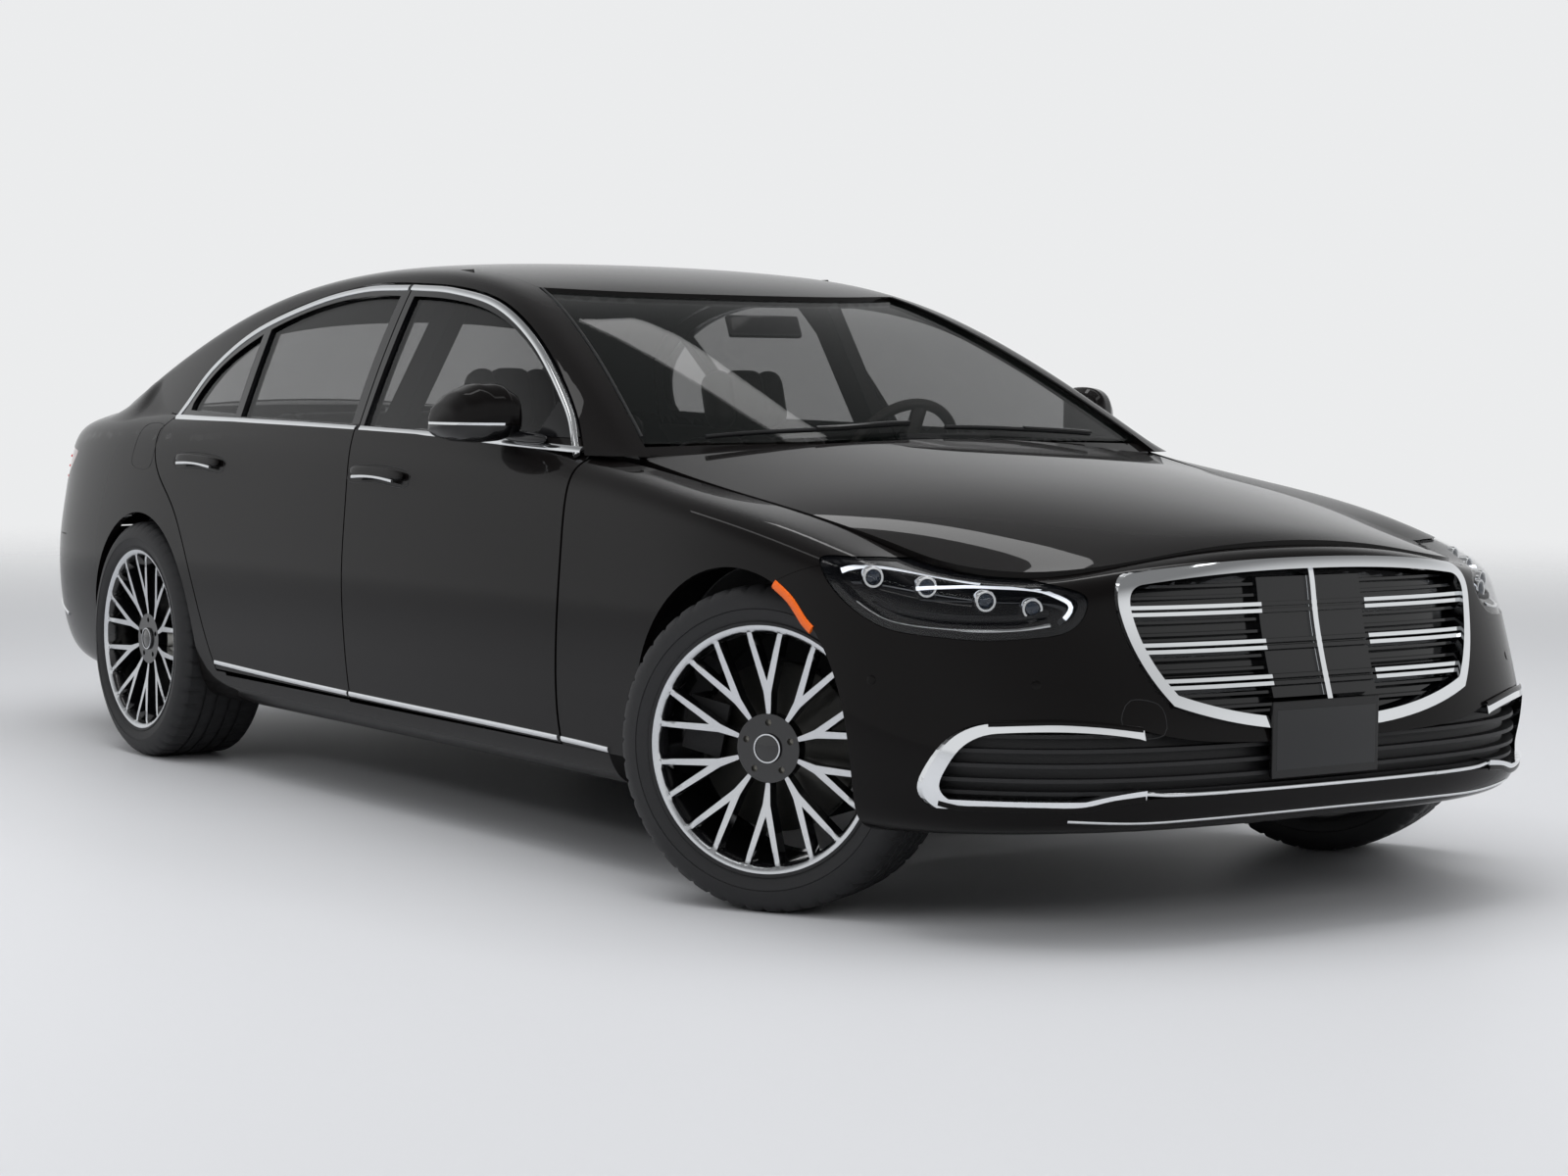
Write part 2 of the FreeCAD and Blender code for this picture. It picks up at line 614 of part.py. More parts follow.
intake_back = slab(front_wrap, 44, 56).common(front_prism(legs_grown(INTAKE, 6), 2200, 2900))
intake_zone = slab(front_wrap, 18, 50).common(front_prism(legs_grown(INTAKE, -0.5), 2200, 2900))
intakes = intake_back
for height in (434, 404, 374, 344, 318):
    intakes = intakes.fuse(intake_zone.common(body_block(2200, 2900, -1000, 1000, height - 4, height + 4)))
rim_zone = slab(front_wrap, -8, 50).common(front_prism(legs_grown(INTAKE, -0.5), 2200, 2900))
rim_zone = rim_zone.cut(front_prism(legs_grown(INTAKE, -20), 2200, 2900))
for side in (1, -1):
    low, high = (500, 1000) if side > 0 else (-1000, -500)
    intakes = intakes.fuse(rim_zone.common(body_block(2200, 2900, low, high, 250, 500)))
for low, high in ((180, 220), (-220, -180)):
    intakes = intakes.fuse(body_block(2380, 2588, low, high, 345, 395))
keep("intakes", intakes)

# Bonnet and boot lid
bonnet = slab(bonnet_top, 0, skin).common(plan_prism(legs_grown(BONNET_PLAN, -gap / 2)))
lamp_clear = slanted_prism(HEADLAMP, (0.72, 0.69, 0), 900, gap).common(body_block(1900, 2800, 300, 1200, 500, 900))
bonnet = bonnet.cut(lamp_clear).cut(other_side(lamp_clear))
keep("bonnet", largest(bonnet))
boot_deck = slab(boot_top, 0, skin).common(plan_prism(legs_grown(BOOT_PLAN, -gap / 2)))
boot_face = rear_skin.common(body_block(-2900, -2300, -430, 430, 640, 1030))
boot_lid = boot_deck.fuse(boot_face)
keep("boot_lid", boot_lid)
boot_space = plan_prism(legs_grown(BOOT_PLAN, gap / 2), 940)
boot_space_low = body_block(-2900, -2300, -436, 436, 634, 1100)

# Roof, screens and body sides
keep("roof_panel", roof_skin.common(plan_prism(ROOF_PLAN)))
screens = []
for outline in (WINDSCREEN, BACK_WINDOW):
    screens.append(largest(glass_skin.common(plan_prism(legs_grown(outline, -pane_edge), 850))))
keep("screens", Part.makeCompound(screens))
RAIL_SPACE = [
    [(1160, 968), (1160, 1600)],
    [(1160, 1600), (-2400, 1600)],
    [(-2400, 1600), (-2400, 1006)],
    [(-2400, 1006), (-2290, 1006), (-2150, 1024), (-1930, 1038), (-1690, 1042), (-1430, 1033), (-1330, 1027)],
    [(-1330, 1027), (0, 968)],
    [(0, 968), (1160, 968)],
]
frame = roof_skin.common(side_prism(RAIL_SPACE, 40, 1200)).cut(plan_prism(TOP_OPENING, 850))
frame = frame.cut(side_prism(legs_grown(FRONT_DOOR, gap / 2))).cut(side_prism(legs_grown(REAR_DOOR, gap / 2)))
frame = frame.cut(boot_space)
quarter = rear_skin.common(body_block(-2900, -880, 300, 1200, 205, 1100))
quarter = quarter.cut(side_prism(legs_grown(REAR_DOOR, gap / 2))).cut(rear_arch)
quarter = quarter.cut(slanted_prism(TAIL_LAMP, (-0.75, 0.66, 0), 900, -0.8))
quarter = quarter.cut(body_block(-2900, -2130, 300, 1200, 150, 640)).cut(boot_space).cut(boot_space_low)
sill = slab(front_wrap, 0, 70).common(body_block(-100, 1230, 500, 1200, 205, 283))
sill = sill.cut(front_arch)
sill_rear = slab(rear_wrap, 0, 70).common(body_block(-960, -100, 500, 1200, 205, 288))
post = prism([[(800, 227), (800, 950)], [(800, 950), (575, 1375)], [(575, 1375), (585, 1440)],
              [(585, 1440), (606, 1405)], [(606, 1405), (842, 960)], [(842, 960), (842, 278)],
              [(842, 278), (905, 272)], [(905, 272), (905, 235)], [(905, 235), (845, 227)], [(845, 227), (800, 227)]],
             lambda y, z: Vector(-170 * along, y * across, z * upward), Vector(110 * along, 0, 0))
frame = largest(frame)
sill = sill.fuse(sill_rear).cut(post)
body_side = [frame, largest(quarter), largest(sill), post]
cowl = slab(glasshouse, 14, 22).common(plan_prism(legs_grown(COWL, -gap / 2), 850)).cut(frame).cut(other_side(frame))
keep("body_sides", Part.makeCompound(body_side + [other_side(shape) for shape in body_side] + [largest(cowl)]))

# Rear bumper and tail lamps
rear_zone = body_block(-2900, -2130, -1200, 1200, 150, 636)
rear_bumper = rear_skin.common(rear_zone).cut(rear_arch)
keep("rear_bumper", rear_bumper)
tail = slab(rear_wrap, 1.5, 110).common(slanted_prism(TAIL_LAMP, (-0.75, 0.66, 0), 900, -1.5)).common(
    body_block(-2900, -2000, 433, 1200, 500, 1100))
keep("tail_lamps", Part.makeCompound([solid_only(tail), solid_only(other_side(tail))]))


# Wheels, brakes and steering, drawn round the Y axis with the outer face at +Y
bore = size("bore_diameter") / 2
bolt_hole = size("bolt_hole_diameter") / 2
flange = size("rim_flange_diameter") / 2
disc_radius = size("disc_diameter") / 2
bearing_slack = 0.7
HUB_DEPTH = 42
MOUNT_DEPTH = 72
DISC_DEPTH = 104


def revolved(points):
    corners = [Vector(0, a, r) for a, r in points]
    wire = Part.makePolygon(corners + corners[:1])
    return Part.Face(wire).revolve(Vector(0, 0, 0), Vector(0, 1, 0), 360)


def cross_rod(radius, start, end):
    return rod(radius, end - start, Vector(0, start, 0), Vector(0, 1, 0))


def bolt_holes(half):
    holes = []
    for number in range(5):
        angle = math.radians(72 * number + 90)
        reach = size("bolt_circle_diameter") / 2
        holes.append(rod(bolt_hole, 2 * half, Vector(math.cos(angle) * reach, -half, math.sin(angle) * reach),
                         Vector(0, 1, 0)))
    return Part.makeCompound(holes)


def tyre(half, radius):
    bead = flange - 0.4
    section = [(-half + 8, bead), (-half, radius - 50), (-half + 12, radius - 15), (-half + 36, radius),
               (half - 36, radius), (half - 12, radius - 15), (half, radius - 50), (half - 8, bead)]
    return revolved(section)


def fork():
    """One Y spoke as an outline of radius and sideways reach"""
    crotch, stem_end, tip = 147, 122, 258
    side = [(60, 7), (76, 5), (stem_end, 9), (tip, 45.5), (tip + 2, 34), (crotch, 0)]
    outline = side + [(r, -t) for r, t in side[-2::-1]]
    corners = [Vector(t, 0, r) for r, t in outline]
    return Part.Face(Part.makePolygon(corners + corners[:1]))


def rim(half):
    barrel = revolved([(-half + 10, flange - 1), (-half + 18, flange - 1), (-half + 18.5, flange - 12.5),
                       (half - 18.5, flange - 12.5), (half - 18, flange - 1), (half - 10, flange - 1),
                       (half - 10, flange - 8), (half - 26, flange - 20), (-half + 14, flange - 24),
                       (-half + 10, flange - 14)])
    face = half - HUB_DEPTH
    depth = size("spoke_depth")
    hub = cross_rod(75, half - MOUNT_DEPTH, face)
    outline = fork()
    outline.translate(Vector(0, half - MOUNT_DEPTH - 20, 0))
    spoke = outline.extrude(Vector(0, MOUNT_DEPTH, 0))
    lift = size("wheel_dish")
    space = revolved([(face - depth + 4, 50), (face, 50), (face, 82), (face + lift, flange - 14),
                      (face + lift - depth - 4, flange - 14), (face - depth + 4, 82)])
    spoke = spoke.common(space)
    spokes = []
    for number in range(10):
        turned_spoke = spoke.copy()
        turned_spoke.rotate(Vector(0, 0, 0), Vector(0, 1, 0), number * 36.0)
        spokes.append(turned_spoke)
    shape = barrel.fuse(spokes + [hub])
    return shape.cut(cross_rod(bore, -half, half)).cut(bolt_holes(half))


def disc(half):
    thick = size("disc_thickness")
    middle = half - DISC_DEPTH
    ring = cross_rod(disc_radius, middle - thick / 2, middle + thick / 2)
    bell = cross_rod(75, middle, half - MOUNT_DEPTH - 0.3)
    return ring.fuse(bell).cut(cross_rod(bore, -half, half)).cut(bolt_holes(half))


def carrier(half, lean, kingpin):
    middle = half - DISC_DEPTH
    inner = middle - 65
    plate = block(-55, 55, inner - 18, inner + 16.5, -150, 165)
    caliper = block(-60, 60, middle - 54, middle + 30, -48, 48)
    slot = size("disc_thickness") / 2 + 5
    caliper = caliper.cut(block(-61, 61, middle - slot, middle + slot, -80, 26))
    caliper.translate(Vector(0, 0, disc_radius - 12))
    arm = block(-40, 40, inner - 14, inner + 14, 0, 190)
    hanging = caliper.fuse(arm)
    hanging.rotate(Vector(0, 0, 0), Vector(0, 1, 0), lean)
    spindle = cross_rod(bore - bearing_slack, inner, half - HUB_DEPTH - 18)
    shape = plate.fuse([hanging, spindle])
    if kingpin:
        boss = rod(14, 38, Vector(0, -size("kingpin_inset"), -150), Vector(0, 0, 1))
        hole = rod(size("kingpin_diameter") / 2 + 0.5, 60, Vector(0, -size("kingpin_inset"), -151), Vector(0, 0, 1))
        shape = shape.fuse(boss).cut(hole)
    return shape


for end, x, track, width, diameter in (
        ("front", front_x, size("front_track"), size("front_tyre_width"), size("front_tyre_diameter")),
        ("rear", rear_x, size("rear_track"), size("rear_tyre_width"), size("rear_tyre_diameter"))):
    half = width / 2
    lean = -78 if end == "front" else 78
    drawn = {"tyre_%s_%s": tyre(half, diameter / 2), "rim_%s_%s": rim(half), "disc_%s_%s": disc(half),
             "carrier_%s_%s": carrier(half, lean, end == "front")}
    for word, side in (("left", 1), ("right", -1)):
        for pattern, shape in drawn.items():
            if side < 0:
                shape = other_side(shape)
            else:
                shape = shape.copy()
            shape.translate(Vector(x, side * track / 2, diameter / 2))
            if end == "front":
                base = Vector(x, side * (track / 2 - size("kingpin_inset")), 0)
                shape.rotate(base, Vector(0, 0, 1), size("steer_at_rest"))
            keep(pattern % (end, word), shape)
pieces["knuckle_left"] = pieces.pop("carrier_front_left")
pieces["knuckle_right"] = pieces.pop("carrier_front_right")

# Floor, cross beams, wheel houses and axles
floor = body_block(-1040, 1150, -835, 835, 205, 227).fuse([
    body_block(-1262, -1040, -684, 684, 205, 227),
    body_block(-1284, 1150, -130, 130, 227, 330)])
floor = floor.cut(body_block(-1300, 1250, -105, 105, 150, 305))
floor = floor.fuse([
    body_block(1150, 1172, -780, 780, 205, 900).cut(body_block(1100, 1250, -105, 105, 150, 305)),
    body_block(-1284, -1262, -684, 684, 205, 440).cut(body_block(-1300, -1250, -105, 105, 150, 305)),
    body_block(-2440, -1284, -684, 684, 418, 440),
    body_block(-1300, -1284, -684, 684, 440, 1000),
    body_block(-1960, -1300, -600, 600, 985, 1000),
    body_block(2350, 2380, -500, 500, 340, 600)])
front_height = size("front_tyre_diameter") / 2
rear_height = size("rear_tyre_diameter") / 2
for side in (1, -1):
    low, high = sorted((side * 420, side * 470))
    floor = floor.fuse(body_block(1172, 2350, low, high, 430, 520))
    low, high = sorted((side * 400, side * 480))
    floor = floor.fuse(body_block(-2440, -1284, low, high, 340, 418))
    for x, height, radius, inner, outer, foot in ((front_x, front_height, size("front_arch_radius"), 466, 880, 300),
                                                  (rear_x, rear_height, size("rear_arch_radius"), 682, 870, 345)):
        inner_radius = radius + 0.5
        outer_radius = inner_radius + size("liner_thickness")
        start = Vector(x, side * inner, height)
        away = Vector(0, side, 0)
        hoop = rod(outer_radius, outer - inner, start, away).cut(rod(inner_radius, outer - inner, start, away))
        wall = rod(outer_radius, 8, start, away)
        house = hoop.fuse(wall).common(block(x - 500, x + 500, -1000, 1000, foot, 900))
        floor = floor.fuse(house)
keep("floor_pan", floor)

front_beam = block(front_x - 90, front_x + 90, -462, 462, 230, 290)
pin_x = size("front_track") / 2 - size("kingpin_inset")
arm_outline = [(330, 236), (330, 262), (400, 262), (780, 196), (pin_x + 14, 196), (pin_x + 14, 180), (770, 180),
               (400, 236)]
arm_face = Part.Face(Part.makePolygon([Vector(front_x - 14, y, z) for y, z in arm_outline + arm_outline[:1]]))
arm = arm_face.extrude(Vector(28, 0, 0)).fuse([
    rod(size("kingpin_diameter") / 2, 50, Vector(front_x, pin_x, 182), Vector(0, 0, 1)),
    rod(26, front_height + size("front_arch_radius") - 1 - 226, Vector(front_x, 590, 226), Vector(0, 0, 1))])
mount_rods = []
for dx in (-60, 60):
    for y in (-445, 445):
        mount_rods.append(rod(20, 430 * upward - 290, Vector(front_x + dx, y, 290), Vector(0, 0, 1)))
keep("front_axle", front_beam.fuse([arm, other_side(arm)] + mount_rods))
rear_beam = block(rear_x - 90, rear_x + 90, -330, 330, 262, 330)
mount_rods = []
for dx in (-60, 60):
    for y in (-290, 290):
        mount_rods.append(rod(24, 418 * upward - 330, Vector(rear_x + dx, y, 330), Vector(0, 0, 1)))
rear_beam = rear_beam.fuse(mount_rods).fuse([block(rear_x - 45, rear_x + 45, -806, 806, 285, 315),
                            pieces.pop("carrier_rear_left"), pieces.pop("carrier_rear_right")])
keep("rear_axle", rear_beam)
engine = block(front_x - 420, front_x - 420 + size("engine_length"), -size("engine_width") / 2,
               size("engine_width") / 2, 320, 320 + size("engine_height"))
keep("engine_block", engine)
exhaust = rod(28, 3480, Vector(-2200, 0, 222), Vector(1, 0, 0)).fuse([
    rod(28, 98, Vector(1400, 0, 222), Vector(0, 0, 1)), rod(28, 130, Vector(1275, 0, 222), Vector(1, 0, 0)),
    block(-2360, -1960, -300, 300, 215, 330), block(-2170, -2150, -10, 10, 330, 418 * upward),
    block(-910, -890, -10, 10, 245, 305 * upward)])
keep("exhaust", exhaust)


# Cabin
def rounded(shape, radius):
    return shape.makeFillet(radius, shape.Edges)


def seat(y):
    cushion = rounded(block(60, 580, y - 260, y + 260, 330, 480), 45)
    back = rounded(block(-80, 60, y - 250, y + 250, 400, 1020), 45)
    back.rotate(Vector(60, y, 420), Vector(0, 1, 0), -16)
    head = rounded(block(-60, 40, y - 130, y + 130, 1050, 1220), 40)
    head.rotate(Vector(60, y, 420), Vector(0, 1, 0), -16)
    stem = rod(12, 160, Vector(-10, y, 960), Vector(0, 0, 1))
    stem.rotate(Vector(60, y, 420), Vector(0, 1, 0), -16)
    rails = block(80, 540, y - 220, y + 220, 227 * upward, 340)
    return cushion.fuse(back).fuse(head).fuse(stem).fuse(rails)


keep("front_seats", Part.makeCompound([seat(390), seat(-390)]))
bench = rounded(block(-1240, -700, -640, 640, 331 * upward, 485), 45)
bench_back = rounded(block(-1260, -1120, -640, 640, 400, 1040), 45)
keep("rear_seat", bench.fuse([bench_back, block(-1200, -740, 140, 600, 227 * upward, 390),
                              block(-1200, -740, -600, -140, 227 * upward, 390)]))
dash = prism([[(1150, 560), (1150, 900)], [(1150, 900), (1060, 955)], [(1060, 955), (820, 975)], [(820, 975), (720, 900)],
              [(720, 900), (760, 700)], [(760, 700), (1000, 560)], [(1000, 560), (1150, 560)]],
             lambda x, z: Vector(x * along, -740 * across, z * upward), Vector(0, 1480 * across, 0))
dash_raw = dash
wheel_ring = Part.makeTorus(size("steering_wheel_diameter") / 2 - size("steering_rim_thickness") / 2,
                            size("steering_rim_thickness") / 2)
hub = Part.makeCylinder(60, 40, Vector(0, 0, -35))
bar = block(-170, 170, -20, 20, -22, -6)
bar_down = block(-20, 20, -170, 0, -22, -6)
column = Part.makeCylinder(25, 160, Vector(0, 0, -190))
steering_wheel = wheel_ring.fuse(hub).fuse(bar).fuse(bar_down).fuse(column)
steering_wheel.rotate(Vector(0, 0, 0), Vector(0, 0, 1), 90)
steering_wheel.rotate(Vector(0, 0, 0), Vector(0, 1, 0), -64)
steering_wheel.translate(Vector(560, 390, 930))
keep("steering_wheel", steering_wheel)
column_bore = Part.makeCylinder(25.7, 400, Vector(0, 0, -380))
column_bore.rotate(Vector(0, 0, 0), Vector(0, 1, 0), -64)
column_bore.translate(Vector(560, 390, 930))
keep("dashboard", dash_raw.cut(column_bore))


# Mirrors
MIRROR_SECTIONS = [
    (938, 505, 590, 1002, 1046), (958, 490, 622, 992, 1092), (985, 484, 640, 988, 1104),
    (1015, 484, 636, 990, 1104), (1040, 488, 616, 998, 1094), (1054, 500, 585, 1012, 1072),
]


def mirror_section(y, rear, front, low, high):
    middle_x, middle_z = (rear + front) / 2, (low + high) / 2
    wide, tall = (front - rear) / 2, (high - low) / 2
    points = [Vector((middle_x + wide * c) * along, y * across, (middle_z + tall * s) * upward)
              for c, s in ((1, 0), (0.80, 0.66), (0.30, 0.96), (-0.45, 1), (-0.95, 0.75), (-1, 0),
                           (-0.95, -0.72), (-0.45, -1), (0.35, -0.92), (0.84, -0.60))]
    curve = Part.BSplineCurve()
    curve.interpolate(points, PeriodicFlag=True)
    return Part.Wire(curve.toShape())


mirror_head = Part.makeLoft([mirror_section(*row) for row in MIRROR_SECTIONS], True, False)
foot = body_block(528, 588, 880, 945, 1006, 1030).cut(front_door).cut(front_pane)
foot = largest(foot)
foot.translate(Vector(0, 0.6, 0))
mirror_left = mirror_head.fuse(foot)
keep("mirror_left", mirror_left)
keep("mirror_right", other_side(mirror_left))

# Finished pieces
os.makedirs("parts", exist_ok=True)
names = sorted(pieces)
for name in names:
    feature = doc.addObject("Part::Feature", name)
    feature.Shape = pieces[name]
    feature.Label = name
    feature.Placement = pieces[name].Placement
doc.recompute()
for name in names:
    feature = doc.getObject(name)
    if "Invalid" in feature.State or "Error" in feature.State:
        raise ValueError(name + " did not build")
    if feature.Shape.isNull() or not feature.Shape.isValid():
        raise ValueError(name + " is not a sound solid")
    feature.Shape.exportStep("parts/%s.step" % name)
    print(name, len(feature.Shape.Solids), [round(v) for v in (
        feature.Shape.BoundBox.XMin, feature.Shape.BoundBox.XMax, feature.Shape.BoundBox.YMin,
        feature.Shape.BoundBox.YMax, feature.Shape.BoundBox.ZMin, feature.Shape.BoundBox.ZMax)])
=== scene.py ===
import json
import math

import bmesh
import bpy
import numpy as np
from mathutils import Matrix, Vector
from mathutils.kdtree import KDTree


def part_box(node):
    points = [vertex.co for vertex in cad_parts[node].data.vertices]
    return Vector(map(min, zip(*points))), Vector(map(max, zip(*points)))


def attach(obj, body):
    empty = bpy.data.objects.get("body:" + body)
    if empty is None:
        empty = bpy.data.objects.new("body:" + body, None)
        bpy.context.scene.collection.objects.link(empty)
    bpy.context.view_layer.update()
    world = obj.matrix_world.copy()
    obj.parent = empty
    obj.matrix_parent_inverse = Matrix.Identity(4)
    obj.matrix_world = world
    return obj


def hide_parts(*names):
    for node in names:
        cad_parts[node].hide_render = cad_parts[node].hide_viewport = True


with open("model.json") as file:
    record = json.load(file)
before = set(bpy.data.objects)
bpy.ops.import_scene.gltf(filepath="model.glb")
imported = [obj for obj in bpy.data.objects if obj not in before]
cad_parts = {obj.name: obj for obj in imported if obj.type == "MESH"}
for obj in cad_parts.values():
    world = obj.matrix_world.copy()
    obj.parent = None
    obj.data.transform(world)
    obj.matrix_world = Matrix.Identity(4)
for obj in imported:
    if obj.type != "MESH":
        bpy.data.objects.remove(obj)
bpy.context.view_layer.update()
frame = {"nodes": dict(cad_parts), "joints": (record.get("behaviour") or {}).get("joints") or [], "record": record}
MM = 0.001
# Points round a rounded section, and where side paths start before they are cast onto the body
RING = 48
HALF_WIDTH = 960


# Nodes and colours
def colour(text):
    """A linear colour from an sRGB hex value"""
    parts = [int(text[i:i + 2], 16) / 255 for i in (1, 3, 5)]
    linear = [p / 12.92 if p <= 0.04045 else ((p + 0.055) / 1.055) ** 2.4 for p in parts]
    return (*linear, 1.0)


def add(tree, kind, settings=None, **sockets):
    """A node with its settings and links; a socket is named with _ for a space, or i and its number"""
    made = tree.nodes.new(kind)
    for name, value in (settings or {}).items():
        setattr(made, name, value)
    for name, value in sockets.items():
        place = int(name[1:]) if name[0] == "i" and name[1:].isdigit() else name.replace("_", " ")
        if isinstance(value, bpy.types.NodeSocket):
            tree.links.new(value, made.inputs[place])
        else:
            made.inputs[place].default_value = value
    return made


def finish_of(name, base, roughness, metallic=0.0, *, grain, rough_spread=0.0, **extra):
    """A named finish: base colour, gloss, and a fine grain of (size, depth) in millimetres"""
    material = bpy.data.materials.new(name)
    material.use_nodes = True
    tree = material.node_tree
    shader = tree.nodes["Principled BSDF"]
    for socket, value in dict(Base_Color=colour(base), Metallic=metallic, Roughness=roughness, **extra).items():
        shader.inputs[socket.replace("_", " ")].default_value = value
    size, depth = grain
    place = add(tree, "ShaderNodeTexCoord")
    noise = add(tree, "ShaderNodeTexNoise", Vector=place.outputs["Object"], Scale=1 / (size * MM), Detail=3.0)
    relief = add(tree, "ShaderNodeBump", Height=noise.outputs[0], Distance=depth * MM, Strength=1.0)
    tree.links.new(relief.outputs[0], shader.inputs["Normal"])
    if rough_spread:
        spread = add(tree, "ShaderNodeMapRange", Value=noise.outputs[0], From_Min=0.35, From_Max=0.65,
                     To_Min=roughness - rough_spread, To_Max=roughness + rough_spread)
        tree.links.new(spread.outputs[0], shader.inputs["Roughness"])
    return material


def glass_of(name, base, roughness, clear):
    """Tinted panes: part see-through, part coloured gloss, so that they stay glass in other renderers"""
    return finish_of(name, base, roughness, grain=(60, 0.004), Alpha=1 - clear, IOR=1.52)


# Body surfaces, the same tables as the part's source, in millimetres
# Stations run round half the belt: (x, y, top x, top y, top z, squareness of the shoulder)
STATIONS = [
    (2652, 0, 2487, 0, 808, 0.80), (2648, 230, 2482, 230, 800, 0.80),
    (2630, 445, 2460, 445, 772, 0.80), (2565, 650, 2398, 585, 746, 0.75),
    (2440, 805, 2296, 676, 745, 0.70), (2285, 915, 2180, 722, 762, 0.75),
    (2110, 966, 2060, 738, 790, 0.85), (1900, 981, 1900, 756, 836, 0.95),
    (1670, 984, 1670, 780, 876, 1.0), (1430, 981, 1430, 793, 908, 1.0),
    (1180, 978, 1180, 820, 950, 0.85), (920, 978, 920, 890, 985, 0.45),
    (620, 978, 620, 903, 995, 0.30), (320, 978, 320, 905, 1001, 0.30),
    (20, 978, 20, 905, 1006, 0.30), (-280, 978, -280, 905, 1010, 0.30),
    (-580, 978, -580, 904, 1013, 0.30), (-880, 979, -880, 900, 1015, 0.32),
    (-1170, 981, -1170, 890, 1020, 0.40), (-1430, 981, -1430, 865, 1030, 0.50),
    (-1690, 976, -1690, 828, 1040, 0.60), (-1930, 962, -1930, 790, 1036, 0.65),
    (-2150, 934, -2150, 750, 1022, 0.70), (-2340, 880, -2330, 715, 1000, 0.70),
    (-2500, 780, -2465, 650, 985, 0.70), (-2590, 620, -2550, 520, 985, 0.70),
    (-2632, 430, -2584, 380, 1000, 0.70), (-2650, 220, -2600, 200, 1012, 0.70),
    (-2654, 0, -2606, 0, 1016, 0.70),
]
# Heights and insets below the belt, at the nose, the middle and the tail, and the shoulder's section
LEVELS = ((228, 240, 300, 400, 520, 650), (205, 212, 300, 450, 620, 770), (240, 252, 330, 470, 620, 770))
INSETS = ((95, 30, 6, 4, 45, 85), (118, 68, 28, 4, -2, 8), (150, 70, 25, 4, 4, 40))
SHOULDER = ((0.33, 0.06, 0.33, 0.62), (0.60, 0.24, 0.60, 0.96), (0.82, 0.58, 0.82, 1.0), (1, 1, 1, 1))
# Arches of the glasshouse: belt, roof edge and middle, each front to back
ARCHES = [
    (1230, 905, 930, 1255, 820, 905, 1400, 925), (1080, 905, 962, 1085, 798, 1007, 1265, 1000),
    (880, 905, 970, 880, 765, 1124, 1060, 1096), (640, 908, 972, 640, 717, 1248, 800, 1209),
    (400, 908, 975, 400, 672, 1348, 540, 1320), (190, 908, 978, 190, 636, 1404, 300, 1402),
    (-60, 908, 980, -60, 618, 1440, -10, 1458), (-330, 908, 980, -330, 612, 1450, -310, 1477),
    (-620, 908, 980, -620, 616, 1445, -600, 1478), (-900, 906, 980, -900, 634, 1420, -880, 1461),
    (-1150, 902, 980, -1150, 664, 1374, -1140, 1420), (-1380, 890, 980, -1390, 702, 1300, -1400, 1354),
    (-1590, 870, 980, -1620, 742, 1206, -1650, 1263), (-1800, 845, 975, -1850, 778, 1100, -1890, 1164),
    (-2000, 820, 960, -2060, 800, 1000, -2120, 1062), (-2150, 800, 930, -2250, 800, 900, -2330, 960),
]
# Rows of the bonnet and the boot: their edge and their middle
BONNET_ROWS = [
    (2440, 640, 738, 2520, 800), (2380, 660, 742, 2462, 828), (2280, 700, 755, 2370, 852),
    (2120, 752, 782, 2220, 882), (1900, 780, 833, 1980, 922), (1670, 800, 874, 1740, 954),
    (1430, 815, 905, 1500, 984), (1200, 835, 942, 1290, 1008), (1090, 850, 962, 1190, 1022),
]
BOOT_ROWS = [
    (-1980, 815, 1032, -2060, 1085), (-2060, 790, 1028, -2140, 1078), (-2180, 765, 1018, -2240, 1070),
    (-2320, 735, 1002, -2380, 1062), (-2440, 690, 990, -2500, 1052), (-2530, 600, 985, -2580, 1040),
    (-2570, 520, 982, -2622, 1030),
]


def side_row(index):
    """Poles of the body side at a station, from the foot to the belt"""
    nose = np.interp(index, (0, 3, 6, 8), (1, 1, 0.35, 0))
    tail = np.interp(index, (19, 22, 25, 28), (0, 0.4, 1, 1))
    mix = np.array((nose, 1 - nose - tail, tail))
    x, y, top_x, top_y, top_z, square = STATIONS[index]
    before = STATIONS[max(index - 1, 0)]
    after = STATIONS[min(index + 1, len(STATIONS) - 1)]
    run = np.array((after[0] - before[0], after[1] - before[1]), float)
    if index == 0:
        run = np.array((0.0, 1.0))
    if index == len(STATIONS) - 1:
        run = np.array((0.0, -1.0))
    outward = np.array((run[1], -run[0])) / np.linalg.norm(run)
    heights = mix @ np.array(LEVELS)
    insets = mix @ np.array(INSETS)
    row = [np.array((x - outward[0] * i, y - outward[1] * i, z)) for i, z in zip(insets, heights)]
    foot, edge = row[-1], np.array((top_x, top_y, top_z), float)
    for flat_in, square_in, flat_up, square_up in SHOULDER:
        inward = flat_in + (square_in - flat_in) * square
        rise = flat_up + (square_up - flat_up) * square
        row.append(foot + (edge - foot) * np.array((inward, inward, rise)))
    return np.array(row)


def arched(edge, middle, shares):
    """Poles from an edge up to the middle, by shares of the way in and up"""
    edge, middle = np.array(edge, float), np.array(middle, float)
    half = []
    for inward, rise in shares:
        across = 1 - (1 - inward) ** 2
        half.append((edge[0] + (middle[0] - edge[0]) * across, edge[1] * (1 - inward),
                     edge[2] + (middle[1] - edge[2]) * rise))
    return half


def whole_row(half):
    """Half a row and its mirror image"""
    half = np.array(half)
    return np.vstack((half[:-1] * (1, -1, 1), half[::-1]))


